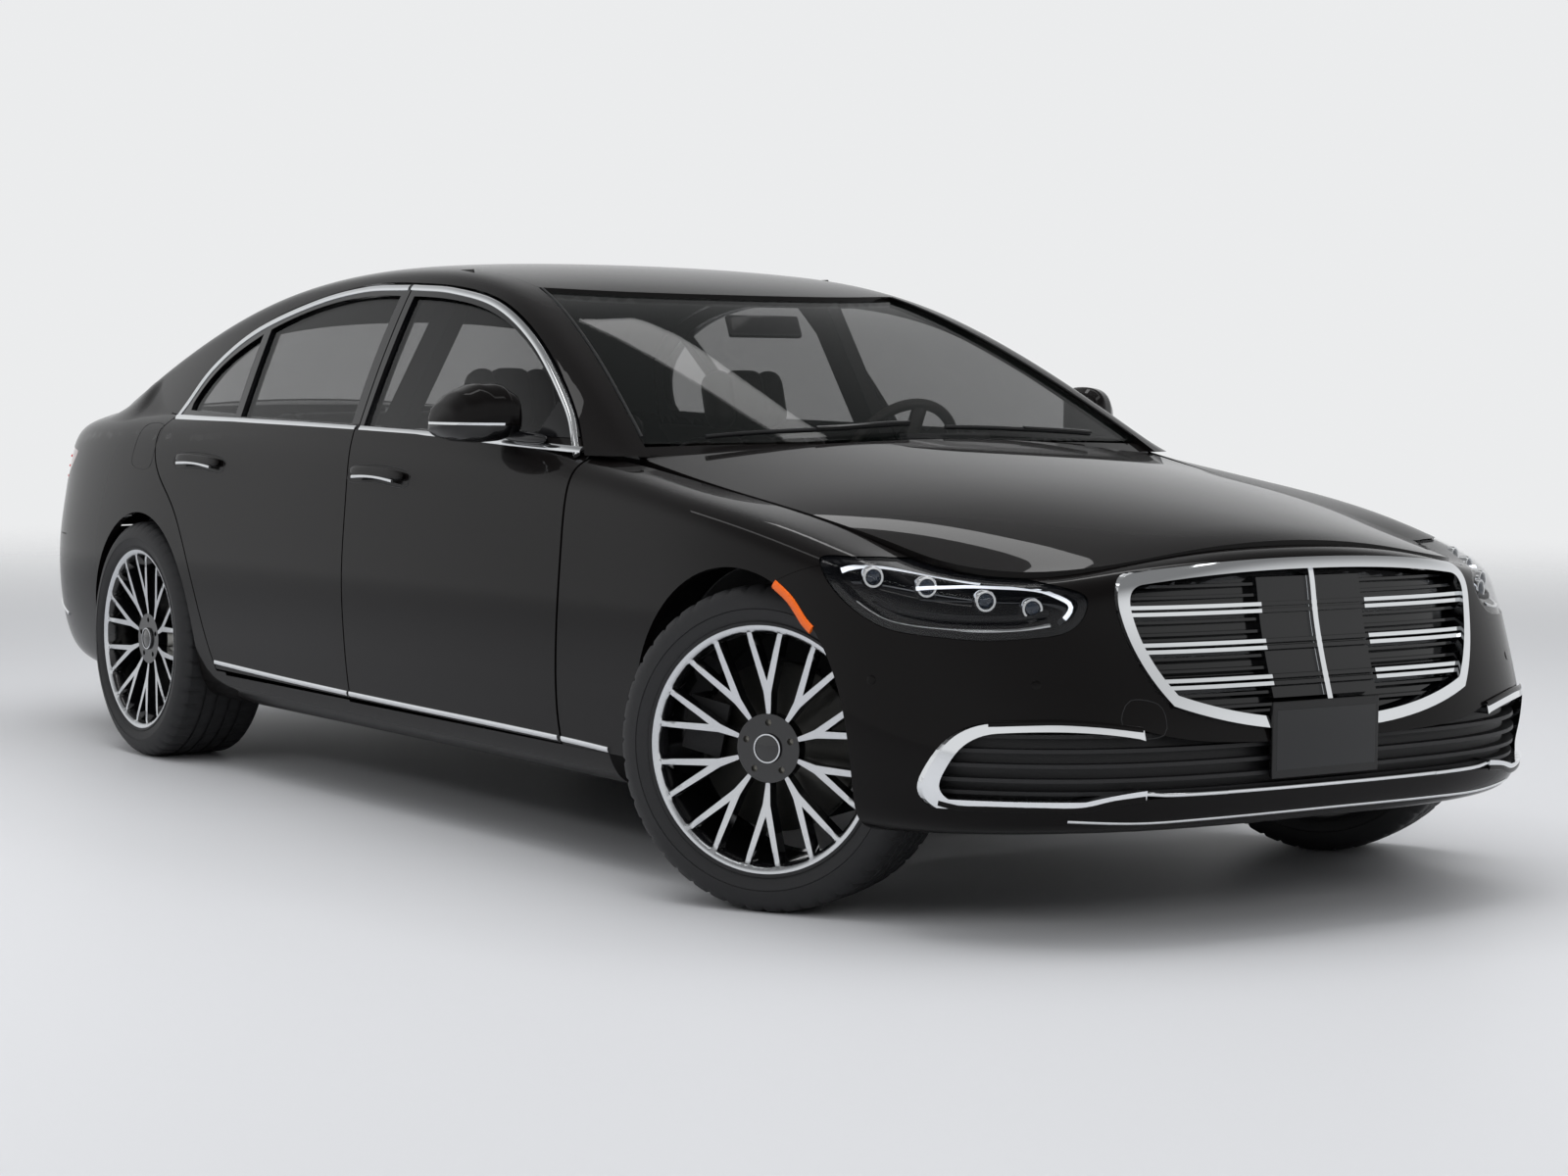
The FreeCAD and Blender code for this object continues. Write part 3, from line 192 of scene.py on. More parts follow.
def arch_row(belt_x, belt_y, belt_z, edge_x, edge_y, edge_z, mid_x, mid_z):
    """Poles over the glasshouse from belt to belt"""
    belt, edge = np.array((belt_x, belt_y, belt_z)), np.array((edge_x, edge_y, edge_z))
    half = [(belt_x, belt_y + 24, belt_z - 42)]
    half += [belt + (edge - belt) * (rise, inward, rise)
             for inward, rise in ((0.20, 0.25), (0.48, 0.55), (0.76, 0.82), (0.93, 0.965))]
    half += arched(edge, (mid_x, mid_z), ((0.06, 0.18), (0.30, 0.62), (0.62, 0.92), (1.0, 1.0)))
    return whole_row(half)


def deck_row(edge_x, edge_y, edge_z, mid_x, mid_z):
    """Poles over the bonnet or the boot from edge to edge"""
    crown = ((0, 0), (0.16, 0.26), (0.34, 0.52), (0.56, 0.78), (0.78, 0.94), (1.0, 1.0))
    return whole_row(arched((edge_x, edge_y, edge_z), (mid_x, mid_z), crown))


HALF = [side_row(i) for i in range(len(STATIONS))]
FLIP = np.array((1, -1, 1))
NETS = {
    "front": np.array([HALF[i] for i in range(18, -1, -1)] + [HALF[i] * FLIP for i in range(1, 19)]) * MM,
    "rear": np.array([HALF[i] * FLIP for i in range(10, 29)] + [HALF[i] for i in range(27, 9, -1)]) * MM,
    "top": np.array([arch_row(*arch) for arch in ARCHES]) * MM,
    "bonnet": np.array([deck_row(*row) for row in BONNET_ROWS]) * MM,
    "boot": np.array([deck_row(*row) for row in BOOT_ROWS]) * MM,
}


def weights(t, count):
    """First pole, four cubic weights and four slopes of an even clamped spline at t"""
    knots = np.clip(np.arange(-3, count + 1), 0, count - 3).astype(float)
    first = np.clip(t.astype(int), 0, count - 4)
    base = np.ones((1, len(t)))
    for degree in (1, 2, 3):
        low = base
        base = np.zeros((degree + 1, len(t)))
        slope = np.zeros((degree + 1, len(t)))
        for r in range(degree):
            start, end = knots[first + 4 + r - degree], knots[first + 4 + r]
            share = low[r] / (end - start)
            base[r] += (end - t) * share
            base[r + 1] += (t - start) * share
            slope[r] -= degree * share
            slope[r + 1] += degree * share
    return first, base, slope


def surface(net, u, v):
    """Points and both slopes of a net at many places"""
    i, a, da = weights(u, net.shape[0])
    j, b, db = weights(v, net.shape[1])
    patch = net[i[:, None, None] + np.arange(4)[None, :, None], j[:, None, None] + np.arange(4)[None, None, :]]
    point = np.einsum("rn,sn,nrsk->nk", a, b, patch)
    along_u = np.einsum("rn,sn,nrsk->nk", da, b, patch)
    along_v = np.einsum("rn,sn,nrsk->nk", a, db, patch)
    return point, along_u, along_v


TREES = {}
for net_name, net in NETS.items():
    us = np.linspace(0, net.shape[0] - 3, (net.shape[0] - 3) * 4 + 1)
    vs = np.linspace(0, net.shape[1] - 3, (net.shape[1] - 3) * 4 + 1)
    grid_u, grid_v = (g.ravel() for g in np.meshgrid(us, vs, indexing="ij"))
    places = surface(net, grid_u, grid_v)[0]
    tree = KDTree(len(places))
    for number, place in enumerate(places):
        tree.insert(place, number)
    tree.balance()
    TREES[net_name] = (tree, grid_u, grid_v)


def nearest_on(net_name, points):
    """The net's outward unit normals and feet nearest to points"""
    net = NETS[net_name]
    tree, grid_u, grid_v = TREES[net_name]
    close = np.array([tree.find(p)[1] for p in points])
    u, v = grid_u[close].copy(), grid_v[close].copy()
    for _ in range(6):
        foot, along_u, along_v = surface(net, u, v)
        miss = points - foot
        a, b, c = ((along_u * along_u).sum(1), (along_u * along_v).sum(1), (along_v * along_v).sum(1))
        d, e = (along_u * miss).sum(1), (along_v * miss).sum(1)
        scale = np.maximum(a * c - b * b, 1e-14)
        u = np.clip(u + np.clip((c * d - b * e) / scale, -1, 1), 0, net.shape[0] - 3 - 1e-9)
        v = np.clip(v + np.clip((a * e - b * d) / scale, -1, 1), 0, net.shape[1] - 3 - 1e-9)
    foot, along_u, along_v = surface(net, u, v)
    normal = np.cross(along_v, along_u)
    normal /= np.maximum(np.linalg.norm(normal, axis=1)[:, None], 1e-9)
    return foot, normal


# Pieces
def linked(name, data):
    """A new object in the scene"""
    thing = bpy.data.objects.new(name, data)
    bpy.context.scene.collection.objects.link(thing)
    return thing


def put(piece, body):
    """Makes a piece ride on a body"""
    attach(piece, body)
    return piece


def place_piece(piece, node):
    """Makes a piece stand for a CAD node, on the same body"""
    bodies = frame["record"]["behaviour"]["bodies"]
    put(piece, next(body for body, nodes in bodies.items() if node in nodes))
    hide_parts(node)


def shape_of(places, faces):
    """A form of points in metres and faces"""
    draft = bpy.data.meshes.new("Draft")
    draft.from_pydata([tuple(p) for p in places], [], faces)
    shape = bmesh.new()
    shape.from_mesh(draft)
    bpy.data.meshes.remove(draft)
    return shape


def piece_of(name, shape, finishes, sharp_angle=None):
    """A smooth piece from a form; edges over the angle in degrees stay sharp"""
    mesh = bpy.data.meshes.new(name)
    shape.to_mesh(mesh)
    shape.free()
    for finish in finishes:
        mesh.materials.append(finish)
    mesh.shade_smooth()
    if sharp_angle:
        mesh.set_sharp_from_angle(angle=math.radians(sharp_angle))
    return linked(name, mesh)


def ring_faces(rows, count, closed=False):
    """Faces between neighbouring rings of a count of points; closed joins the last ring to the first"""
    return [(i * count + j, i * count + (j + 1) % count, (i + 1) % rows * count + (j + 1) % count,
             (i + 1) % rows * count + j) for i in range(rows if closed else rows - 1) for j in range(count)]


def bent(values, power):
    """Values raised to a power with their signs kept, for rounded-square sections"""
    return np.sign(values) * np.abs(values) ** power


def sided(outline, side):
    """An outline in y and z on the left (1) or the right (-1)"""
    return [(side * y, z) for y, z in outline]


def merged_copy(node, name):
    """The CAD node's own mesh with its doubles joined, as a new piece"""
    mesh = frame["nodes"][node].data.copy()
    mesh.name = name
    shape = bmesh.new()
    shape.from_mesh(mesh)
    bmesh.ops.remove_doubles(shape, verts=shape.verts, dist=2e-6)
    shape.to_mesh(mesh)
    shape.free()
    mesh.materials.clear()
    return linked(name, mesh)


def true_normals(mesh, net_names, blend_angle=20):
    """Corner normals from the design surfaces, so that the gloss runs clean across the facets"""
    count = len(mesh.polygons)
    face_normal = np.empty(count * 3)
    mesh.polygons.foreach_get("normal", face_normal)
    face_normal = face_normal.reshape(-1, 3)
    totals = np.empty(count, int)
    mesh.polygons.foreach_get("loop_total", totals)
    corner_vertex = np.empty(len(mesh.loops), int)
    mesh.loops.foreach_get("vertex_index", corner_vertex)
    place = np.empty(len(mesh.vertices) * 3)
    mesh.vertices.foreach_get("co", place)
    place = place.reshape(-1, 3)
    corner_face = np.repeat(np.arange(count), totals)
    normals = face_normal[corner_face].copy()
    best = np.full(len(normals), math.cos(math.radians(blend_angle)))
    for net_name in net_names:
        foot, normal = nearest_on(net_name, place)
        reach = np.linalg.norm(place - foot, axis=1)[corner_vertex]
        guess = normal[corner_vertex]
        match = (guess * face_normal[corner_face]).sum(1)
        better = (np.abs(match) > best) & (reach < 0.1)
        best[better] = np.abs(match)[better]
        normals[better] = guess[better] * np.sign(match[better])[:, None]
    mesh.shade_smooth()
    mesh.normals_split_custom_set(normals)


def dressed(node, name, finishes, net_names=()):
    """A CAD node's mesh in its finishes, its gloss taken from the design surfaces where it has any"""
    piece = merged_copy(node, name)
    for finish in finishes:
        piece.data.materials.append(finish)
    if net_names:
        true_normals(piece.data, net_names)
    else:
        piece.data.shade_smooth()
        piece.data.set_sharp_from_angle(angle=math.radians(35))
    return piece


def faces_where(piece, index, rule):
    """Gives the faces whose centre and normal pass the rule another finish"""
    mesh = piece.data
    centre = np.empty(len(mesh.polygons) * 3)
    mesh.polygons.foreach_get("center", centre)
    normal = np.empty(len(mesh.polygons) * 3)
    mesh.polygons.foreach_get("normal", normal)
    chosen = np.empty(len(mesh.polygons), int)
    mesh.polygons.foreach_get("material_index", chosen)
    chosen[rule(centre.reshape(-1, 3), normal.reshape(-1, 3))] = index
    mesh.polygons.foreach_set("material_index", chosen)


# Body finishes
# Clear lacquer over black base coat: the depth of black glass with sharp, faint reflections
LACQUER = finish_of("Black_gloss_lacquer", "#0a0808", 0.5, grain=(0.6, 0.0004), Coat_Weight=0.66,
                    Coat_Roughness=0.015, Coat_IOR=1.26, Specular_IOR_Level=0.03)
# Chrome plating: a mirror, a trace wavy over its 30 mm swell
CHROME = finish_of("Bright_chrome_plating", "#e4e6e8", 0.06, 1.0, grain=(30, 0.002))
# Polished acrylic trim: black with a clear gloss
GLOSS_BLACK = finish_of("Piano_black_trim", "#08080a", 0.10, grain=(8, 0.002))
# Moulded and grained polypropylene: a soft dull black
SATIN_BLACK = finish_of("Grained_black_moulding", "#131315", 0.55, grain=(0.9, 0.02), rough_spread=0.08)
# Smoked tempered glass: dark panes with a sharp gloss
SIDE_GLASS = glass_of("Smoked_side_glass", "#050607", 0.02, 0.55)
# Laminated glass: faintly green and clearer than the sides
SCREEN_GLASS = glass_of("Laminated_screen_glass", "#0a0e0d", 0.02, 0.72)
# Polycarbonate covers: nearly clear, the lamp's inside shows
LAMP_GLASS = glass_of("Lamp_cover", "#0c0f14", 0.02, 0.88)
# Ground lens with a blue tint from its coating
EYE_GLASS = finish_of("Projector_lens", "#24303f", 0.05, 0.2, grain=(4, 0.004), Coat_Weight=1.0)
# Red and amber acrylic: deep colour under a gloss, with optics drawn 5 and 2.5 mm coarse so that they show
RED_LENS = finish_of("Red_lamp_lens", "#6d0508", 0.08, grain=(5, 0.02), Coat_Weight=0.5)
AMBER = finish_of("Amber_marker_lens", "#e8640c", 0.18, grain=(2.5, 0.05))
# Lit acrylic guides: an even glow with no bright core
LIGHT = finish_of("White_light_band", "#eef3fb", 0.25, grain=(6, 0.02), Emission_Color=colour("#eef3fb"),
                  Emission_Strength=0.9)
REAR_LIGHT = finish_of("Red_light_bar", "#d01016", 0.2, grain=(4, 0.02), Emission_Color=colour("#d01016"),
                       Emission_Strength=0.25)
# Silvered mirror glass: a clean, bright reflection
MIRROR_SILVER = finish_of("Mirror_silver", "#dfe3e6", 0.02, 1.0, grain=(40, 0.001))
# Painted sheet and its moulded frame: flat dark grey
PLATE = finish_of("Blank_plate_sheet", "#17181a", 0.34, grain=(3, 0.02))
PLATE_EDGE = finish_of("Plate_frame_moulding", "#0b0b0c", 0.5, grain=(0.9, 0.02), rough_spread=0.05)

# Running gear finishes
# Carbon-filled rubber: a dull, slightly uneven black
RUBBER = finish_of("Tyre_rubber", "#19191b", 0.62, grain=(1.4, 0.03), rough_spread=0.1)
# Lathe-cut alloy under clear coat: bright with a broad highlight
MACHINED = finish_of("Machined_alloy", "#cfd1d4", 0.24, 1.0, grain=(0.5, 0.004), rough_spread=0.05)
# Stoved black enamel: dark with a soft gloss
DARK_ALLOY = finish_of("Black_wheel_enamel", "#0d0d0f", 0.22, grain=(0.7, 0.002), Coat_Weight=0.6)
# Ground cast steel: grey with a satin sheen
DISC_STEEL = finish_of("Ground_disc_steel", "#8d8c88", 0.34, 1.0, grain=(0.8, 0.008), rough_spread=0.08)
# Sand-cast iron: dark and rough
CAST = finish_of("Cast_iron", "#2b2b2c", 0.6, 0.6, grain=(2.2, 0.08), rough_spread=0.12)
# Drawn stainless tube: warm grey with a long highlight
STEEL = finish_of("Drawn_steel_tube", "#77756f", 0.36, 1.0, grain=(1.5, 0.01))
# Sprayed wax underseal: matt and lumpy
FLOOR_STEEL = finish_of("Underseal", "#141415", 0.75, grain=(2.5, 0.12), rough_spread=0.08)

# Cabin finishes
# Grained hide: dark brown with a low sheen
LEATHER = finish_of("Seat_hide", "#17130f", 0.46, grain=(1.6, 0.09), rough_spread=0.06)
# Slush-moulded skin: black without shine
TRIM = finish_of("Cabin_soft_trim", "#101011", 0.6, grain=(1.2, 0.05), rough_spread=0.06)
# Tufted nylon loops: matt with a faint edge glow
CARPET = finish_of("Loop_carpet", "#1b1a19", 0.95, grain=(2.2, 0.5), Sheen_Weight=0.3)
# Bonded display glass: black and glossy
SCREEN = finish_of("Dark_display", "#050608", 0.08, grain=(30, 0.001), Coat_Weight=1.0)

# The CAD nodes in their finishes, with the surfaces that give their normals
DOOR_FINISHES = [LACQUER, GLOSS_BLACK, TRIM]
PANELS = {
    "fenders": ("Front_wings", [LACQUER], ("front",)),
    "bonnet": ("Bonnet_skin", [LACQUER], ("bonnet",)),
    "boot_lid": ("Boot_lid_skin", [LACQUER], ("boot", "rear")),
    "front_bumper": ("Front_bumper_skin", [LACQUER], ("front",)),
    "rear_bumper": ("Rear_bumper_skin", [LACQUER], ("rear",)),
    "roof_panel": ("Roof_skin", [LACQUER, TRIM], ("top",)),
    "body_sides": ("Body_side_skin", [LACQUER, TRIM], ("top", "rear", "front")),
    "screens": ("Screens", [SCREEN_GLASS], ("top",)),
    "door_front_left": ("Front_left_door_skin", DOOR_FINISHES, ("front", "top")),
    "door_front_right": ("Front_right_door_skin", DOOR_FINISHES, ("front", "top")),
    "door_rear_left": ("Rear_left_door_skin", DOOR_FINISHES, ("rear", "top")),
    "door_rear_right": ("Rear_right_door_skin", DOOR_FINISHES, ("rear", "top")),
    "glass_front_left": ("Front_left_pane", [SIDE_GLASS], ("top",)),
    "glass_front_right": ("Front_right_pane", [SIDE_GLASS], ("top",)),
    "glass_rear_left": ("Rear_left_panes", [SIDE_GLASS], ("top",)),
    "glass_rear_right": ("Rear_right_panes", [SIDE_GLASS], ("top",)),
    "intakes": ("Lower_intake", [SATIN_BLACK, CHROME], ("front",)),
    "headlamps": ("Headlamps", [GLOSS_BLACK, LAMP_GLASS], ("front",)),
    "tail_lamps": ("Tail_lamps", [RED_LENS], ("rear",)),
    "grille": ("Grille", [GLOSS_BLACK, CHROME], ("front",)),
}
WORKED = {"dashboard": [TRIM], "steering_wheel": [LEATHER], "engine_block": [CAST], "front_axle": [CAST],
          "rear_axle": [CAST], "exhaust": [STEEL], "floor_pan": [FLOOR_STEEL, CARPET], "knuckle_left": [CAST],
          "knuckle_right": [CAST]}
ENDS = ("front", "rear")
SIDES = ((1, "left"), (-1, "right"))
for end in ENDS:
    for side, word in SIDES:
        WORKED["rim_%s_%s" % (end, word)] = [DARK_ALLOY, MACHINED]
        WORKED["disc_%s_%s" % (end, word)] = [DISC_STEEL]
made = {}
for node, (name, finishes, nets) in PANELS.items():
    made[node] = dressed(node, name, finishes, nets)
for node, finishes in WORKED.items():
    made[node] = dressed(node, node.title(), finishes)
for node, piece in made.items():
    place_piece(piece, node)


# Small pieces: what follows a path is swept by Geometry Nodes
def sweep_group():
    """A node tree that sweeps a flattened round section along a mesh's edges"""
    tree = bpy.data.node_groups.new("Trim_sweep", "GeometryNodeTree")
    tree.interface.new_socket("Geometry", in_out="INPUT", socket_type="NodeSocketGeometry")
    for label, kind in (("Wide", "Float"), ("Thick", "Float"), ("Finish", "Material")):
        tree.interface.new_socket(label, in_out="INPUT", socket_type="NodeSocket" + kind)
    tree.interface.new_socket("Geometry", in_out="OUTPUT", socket_type="NodeSocketGeometry")
    start = add(tree, "NodeGroupInput")
    curve = add(tree, "GeometryNodeMeshToCurve", Mesh=start.outputs["Geometry"])
    facing = add(tree, "GeometryNodeInputNamedAttribute", {"data_type": "FLOAT_VECTOR"}, Name="facing")
    turned = add(tree, "GeometryNodeSetCurveNormal", {"mode": "FREE"}, Curve=curve.outputs[0],
                 Normal=facing.outputs[0])
    circle = add(tree, "GeometryNodeCurvePrimitiveCircle", {"mode": "RADIUS"}, Resolution=12, Radius=0.5)
    shape = add(tree, "ShaderNodeCombineXYZ", X=start.outputs["Thick"], Y=start.outputs["Wide"], Z=1.0)
    section = add(tree, "GeometryNodeTransform", Geometry=circle.outputs[0], Scale=shape.outputs[0])
    tube = add(tree, "GeometryNodeCurveToMesh", Curve=turned.outputs[0], Profile_Curve=section.outputs[0],
               Fill_Caps=True)
    smoothed = add(tree, "GeometryNodeSetShadeSmooth", Geometry=tube.outputs[0])
    real = add(tree, "GeometryNodeRealizeInstances", Geometry=smoothed.outputs[0])
    finished = add(tree, "GeometryNodeSetMaterial", Geometry=real.outputs[0], Material=start.outputs["Finish"])
    add(tree, "NodeGroupOutput", Geometry=finished.outputs[0])
    return tree


SWEEP = sweep_group()


def baked_mesh(piece):
    """Gives a piece the plain mesh that its modifiers make"""
    bpy.context.view_layer.update()
    finished = bpy.data.meshes.new_from_object(piece.evaluated_get(bpy.context.evaluated_depsgraph_get()))
    piece.modifiers.clear()
    piece.data = finished
    finished.name = piece.name


def swept(name, paths, wide, thick, finish, body="shell", slot="chrome", closed=False):
    """One piece of half-round strip along paths of points with normals"""
    verts, edges, facing = [], [], []
    for points, normals in paths:
        first = len(verts)
        verts += [tuple(p) for p in points]
        facing += [tuple(n) for n in normals]
        edges += [(first + i, first + i + 1) for i in range(len(points) - 1)]
        if closed:
            edges.append((first + len(points) - 1, first))
    mesh = bpy.data.meshes.new(name + "_path")
    mesh.from_pydata(verts, edges, [])
    mesh.attributes.new("facing", "FLOAT_VECTOR", "POINT").data.foreach_set("vector", np.ravel(facing))
    piece = linked(name, mesh)
    modifier = piece.modifiers.new("Nodes", "NODES")
    modifier.node_group = SWEEP
    values = {"Wide": wide * MM, "Thick": thick * MM, "Finish": finish}
    for item in SWEEP.interface.items_tree:
        if item.in_out == "INPUT" and item.name in values:
            modifier[item.identifier] = values[item.name]
    baked_mesh(piece)
    return put(piece, body)


def smooth(points, step=12, closed=False):
    """Even points along a curve through the given ones, from millimetres to metres"""
    p = np.array(points, float) * MM
    if closed:
        ring = np.vstack((p[-1:], p, p[:2]))
    else:
        ring = np.vstack((2 * p[0] - p[1], p, 2 * p[-1] - p[-2]))
    runs = []
    for a, b, c, d in zip(ring[:-3], ring[1:-2], ring[2:-1], ring[3:]):
        count = max(2, int(np.linalg.norm(c - b) / (step * MM)))
        t = np.linspace(0, 1, count, endpoint=False)[:, None]
        runs.append(0.5 * (2 * b + (c - a) * t + (2 * a - 5 * b + 4 * c - d) * t ** 2
                           + (3 * b - a - 3 * c + d) * t ** 3))
    if not closed:
        runs.append(p[-1:])
    return np.vstack(runs)


def cast(net_name, points, direction):
    """Points moved along a direction onto a design surface, with the surface's normals"""
    direction = np.array(direction, float)
    for _ in range(9):
        foot, normal = nearest_on(net_name, points)
        slope = normal @ direction
        slope = np.where(np.abs(slope) < 0.2, np.where(slope < 0, -0.2, 0.2), slope)
        points = points - (((points - foot) * normal).sum(1) / slope)[:, None] * direction
    return points, normal


def on_net(net_name, points, lift=0.0, side=1, closed=False):
    """A path through points in millimetres, laid on a surface and lifted; side -1 gives the other side's"""
    foot, normal = nearest_on(net_name, smooth(np.array(points, float) * (1, side, 1), closed=closed))
    return foot + normal * lift * MM, normal


def from_side(net_name, outline, side, lift=0.0, closed=False):
    """A path drawn in x and z on the body side; side is 1 on the left and -1 on the right"""
    points = smooth([(x, side * HALF_WIDTH, z) for x, z in outline], closed=closed)
    points, normal = cast(net_name, points, (0, 1, 0))
    return points + normal * lift * MM, normal


def from_front(net_name, outline, lift=0.0, start=2560):
    """A path drawn in y and z on the nose or the tail"""
    points, normal = cast(net_name, smooth([(start, y, z) for y, z in outline], 10), (1, 0, 0))
    return points + normal * lift * MM, normal


def moved(outline, distance):
    """An open outline shifted sideways, to the left of its run"""
    p = np.array(outline, float)
    run = np.gradient(p, axis=0)
    run /= np.linalg.norm(run, axis=1)[:, None]
    return p + np.stack((-run[:, 1], run[:, 0]), 1) * distance


def turned_piece(name, seats, section, finish, body, steps=40):
    """Turned forms in one piece: a section of radius and height spun on each (centre, axis), in millimetres"""
    shape = bmesh.new()
    for centre, axis in seats:
        upright = Vector(axis).to_track_quat("Z", "Y").to_matrix().to_4x4()
        turn = Matrix.Translation(Vector(centre) * MM) @ upright
        rings = [[shape.verts.new(turn @ Vector((r * math.cos(a) * MM, r * math.sin(a) * MM, h * MM)))
                  for a in np.linspace(0, 2 * math.pi, steps, endpoint=False)] for r, h in section]
        for low, high in zip(rings[:-1], rings[1:]):
            for i in range(steps):
                shape.faces.new((low[i], low[(i + 1) % steps], high[(i + 1) % steps], high[i]))
        shape.faces.new(rings[0][::-1])
        if section[-1][0]:
            shape.faces.new(rings[-1])
        else:
            bmesh.ops.remove_doubles(shape, verts=rings[-1], dist=1e-6)
    bmesh.ops.recalc_face_normals(shape, faces=shape.faces)
    return put(piece_of(name, shape, [finish], 38), body)


def slab(name, centre, sizes, finish, edge, tilt=0.0):
    """A flat panel with rolled edges on the shell: sizes in millimetres, tilt in degrees"""
    shape = bmesh.new()
    bmesh.ops.create_cube(shape, size=1.0)
    bmesh.ops.scale(shape, vec=Vector(sizes) * MM, verts=shape.verts)
    bmesh.ops.bevel(shape, geom=shape.edges[:], offset=edge * MM, segments=3, affect="EDGES", profile=0.6)
    turn = Matrix.Rotation(math.radians(tilt), 3, "Y")
    bmesh.ops.rotate(shape, cent=(0, 0, 0), matrix=turn, verts=shape.verts)
    bmesh.ops.translate(shape, vec=Vector(centre) * MM, verts=shape.verts)
    return put(piece_of(name, shape, [finish], 50), "shell")


def pod(name, centre, along, out, sizes, finish, power=2.6, taper=0.0):
    """A rounded bar: sizes are its half length, half height and half depth in millimetres"""
    along, out = np.array(along, float), np.array(out, float)
    along /= np.linalg.norm(along)
    out -= along * (out @ along)
    out /= np.linalg.norm(out)
    up = np.cross(out, along)
    u = np.linspace(-math.pi, math.pi, RING + 1)[:-1]
    v = np.linspace(-math.pi / 2, math.pi / 2, 25)
    ring = bent(np.cos(v), 2 / power)[:, None]
    x = bent(np.sin(v), 2 / power)[:, None] * np.ones((1, RING)) * sizes[0]
    y = ring * bent(np.cos(u), 2 / power)[None, :] * sizes[1] * (1 - taper * x / sizes[0])
    z = ring * bent(np.sin(u), 2 / power)[None, :] * sizes[2]
    place = (np.array(centre)[None, None] + x[..., None] * along + y[..., None] * up + z[..., None] * out) * MM
    shape = shape_of(place.reshape(-1, 3), ring_faces(len(v), RING))
    bmesh.ops.remove_doubles(shape, verts=shape.verts, dist=1e-6)
    bmesh.ops.recalc_face_normals(shape, faces=shape.faces)
    return piece_of(name, shape, [finish])


def sheet_between(name, lines, thick, finish, sign, body):
    """A closed sheet through lines of equal count in millimetres, with its thickness on the inner side"""
    top = np.array(lines, float) * MM
    facing = np.cross(np.gradient(top, axis=0), np.gradient(top, axis=1))
    facing *= sign / np.maximum(np.linalg.norm(facing, axis=2), 1e-12)[..., None]
    rows, count = top.shape[:2]
    places = np.concatenate((top.reshape(-1, 3), (top - facing * thick * MM).reshape(-1, 3)))
    index = np.arange(rows * count).reshape(rows, count)
    quads = np.stack((index[:-1, :-1], index[1:, :-1], index[1:, 1:], index[:-1, 1:]), -1).reshape(-1, 4)
    under = quads[:, ::-1] + rows * count
    rim = np.concatenate((index[0], index[1:, -1], index[-1, -2::-1], index[-2:0:-1, 0]))
    after = np.roll(rim, -1)
    edge = np.stack((rim, after, after + rows * count, rim + rows * count), -1)
    shape = shape_of(places, np.vstack((quads, under, edge)).tolist())
    bmesh.ops.recalc_face_normals(shape, faces=shape.faces)
    return put(piece_of(name, shape, [finish], 40), body)


# Window surrounds, belt line and sill strips, drawn in x and z: strips are (width, thickness) in millimetres
WINDOW_STRIP, SILL_STRIP, WINDOW_INSET = (20, 9), (16, 9), 11
WINDOWS = {
    "Front": ([(1010, 976), (839, 1092), (547, 1249), (271, 1345), (-14, 1389), (-262, 1403)],
              [(1012, 978), (700, 989), (307, 1000), (-117, 1008)]),
    "Rear": ([(-280, 1403), (-544, 1402), (-813, 1368), (-1109, 1288), (-1282, 1180), (-1352, 1070),
              (-1386, 1022)],
             [(-143, 1008), (-500, 1013), (-900, 1017), (-1200, 1019), (-1372, 1020)]),
}
SILLS = {"Front": ("front", [(1006, 298), (662, 301), (300, 303), (-84, 306)]),
         "Rear": ("rear", [(-96, 306), (-500, 312), (-932, 322)]),
         "Wing": ("front", [(1024, 298), (1120, 296), (1236, 293)])}
PILLAR_SEAL = [(1082, 762, 1004), (700, 666, 1190), (272, 566, 1366)]
for side, word in SIDES:
    doors = {"Front": "front_%s_door" % word, "Rear": "rear_%s_door" % word, "Wing": "shell"}
    for end, (frame_line, belt_line) in WINDOWS.items():
        paths = [from_side("top", moved(frame_line, WINDOW_INSET), side, 1.0),
                 from_side("top", belt_line, side, 3.5)]
        swept("%s_window_bright_%s" % (end, word), paths, *WINDOW_STRIP, CHROME, doors[end])
    for end, (net_name, sill_line) in SILLS.items():
        paths = [from_side(net_name, sill_line, side, 0.5)]
        swept("%s_sill_bright_%s" % (end, word), paths, *SILL_STRIP, CHROME, doors[end])
    swept("Screen_pillar_seal_" + word, [on_net("top", PILLAR_SEAL, 0.5, side)], 7, 5, SATIN_BLACK,
          slot="black_plastic")

# Nose: intake surround, lower lines, sensors and tow cover, drawn in y and z
INTAKE_FOOT = [(836, 291), (775, 298), (622, 299), (560, 311), (500, 317), (440, 313), (303, 312)]
CHIN = [(-640, 262), (-490, 254), (-313, 256), (0, 258), (313, 256), (490, 254), (640, 262)]
SENSOR = [(10, -1.5), (10, 0.3), (9.3, 0.8), (5, 1.15), (0, 1.3)]
FRONT_SENSORS = ((2222, 920, 539), (2497, 700, 545))
REAR_SENSORS = ((-2500, 700, 520), (-2620, 330, 530))
TOW_COVER = [(2566, -512, 506), (2588, -455, 499), (2599, -442, 466), (2603, -452, 436), (2590, -492, 428),
             (2571, -526, 436), (2560, -536, 466)]
SIDE_MARKER = [(1927, 956, 719), (1982, 953, 689), (2030, 951, 647), (2055, 948, 630)]


def sensors(name, net_name, spots):
    """Low round caps seated on a bumper, on both sides"""
    places = np.array([(x, side * y, z) for x, y, z in spots for side in (-1, 1)], float) * MM
    foot, normal = nearest_on(net_name, places)
    turned_piece(name, list(zip(foot / MM, normal)), SENSOR, LACQUER, "shell", 28)


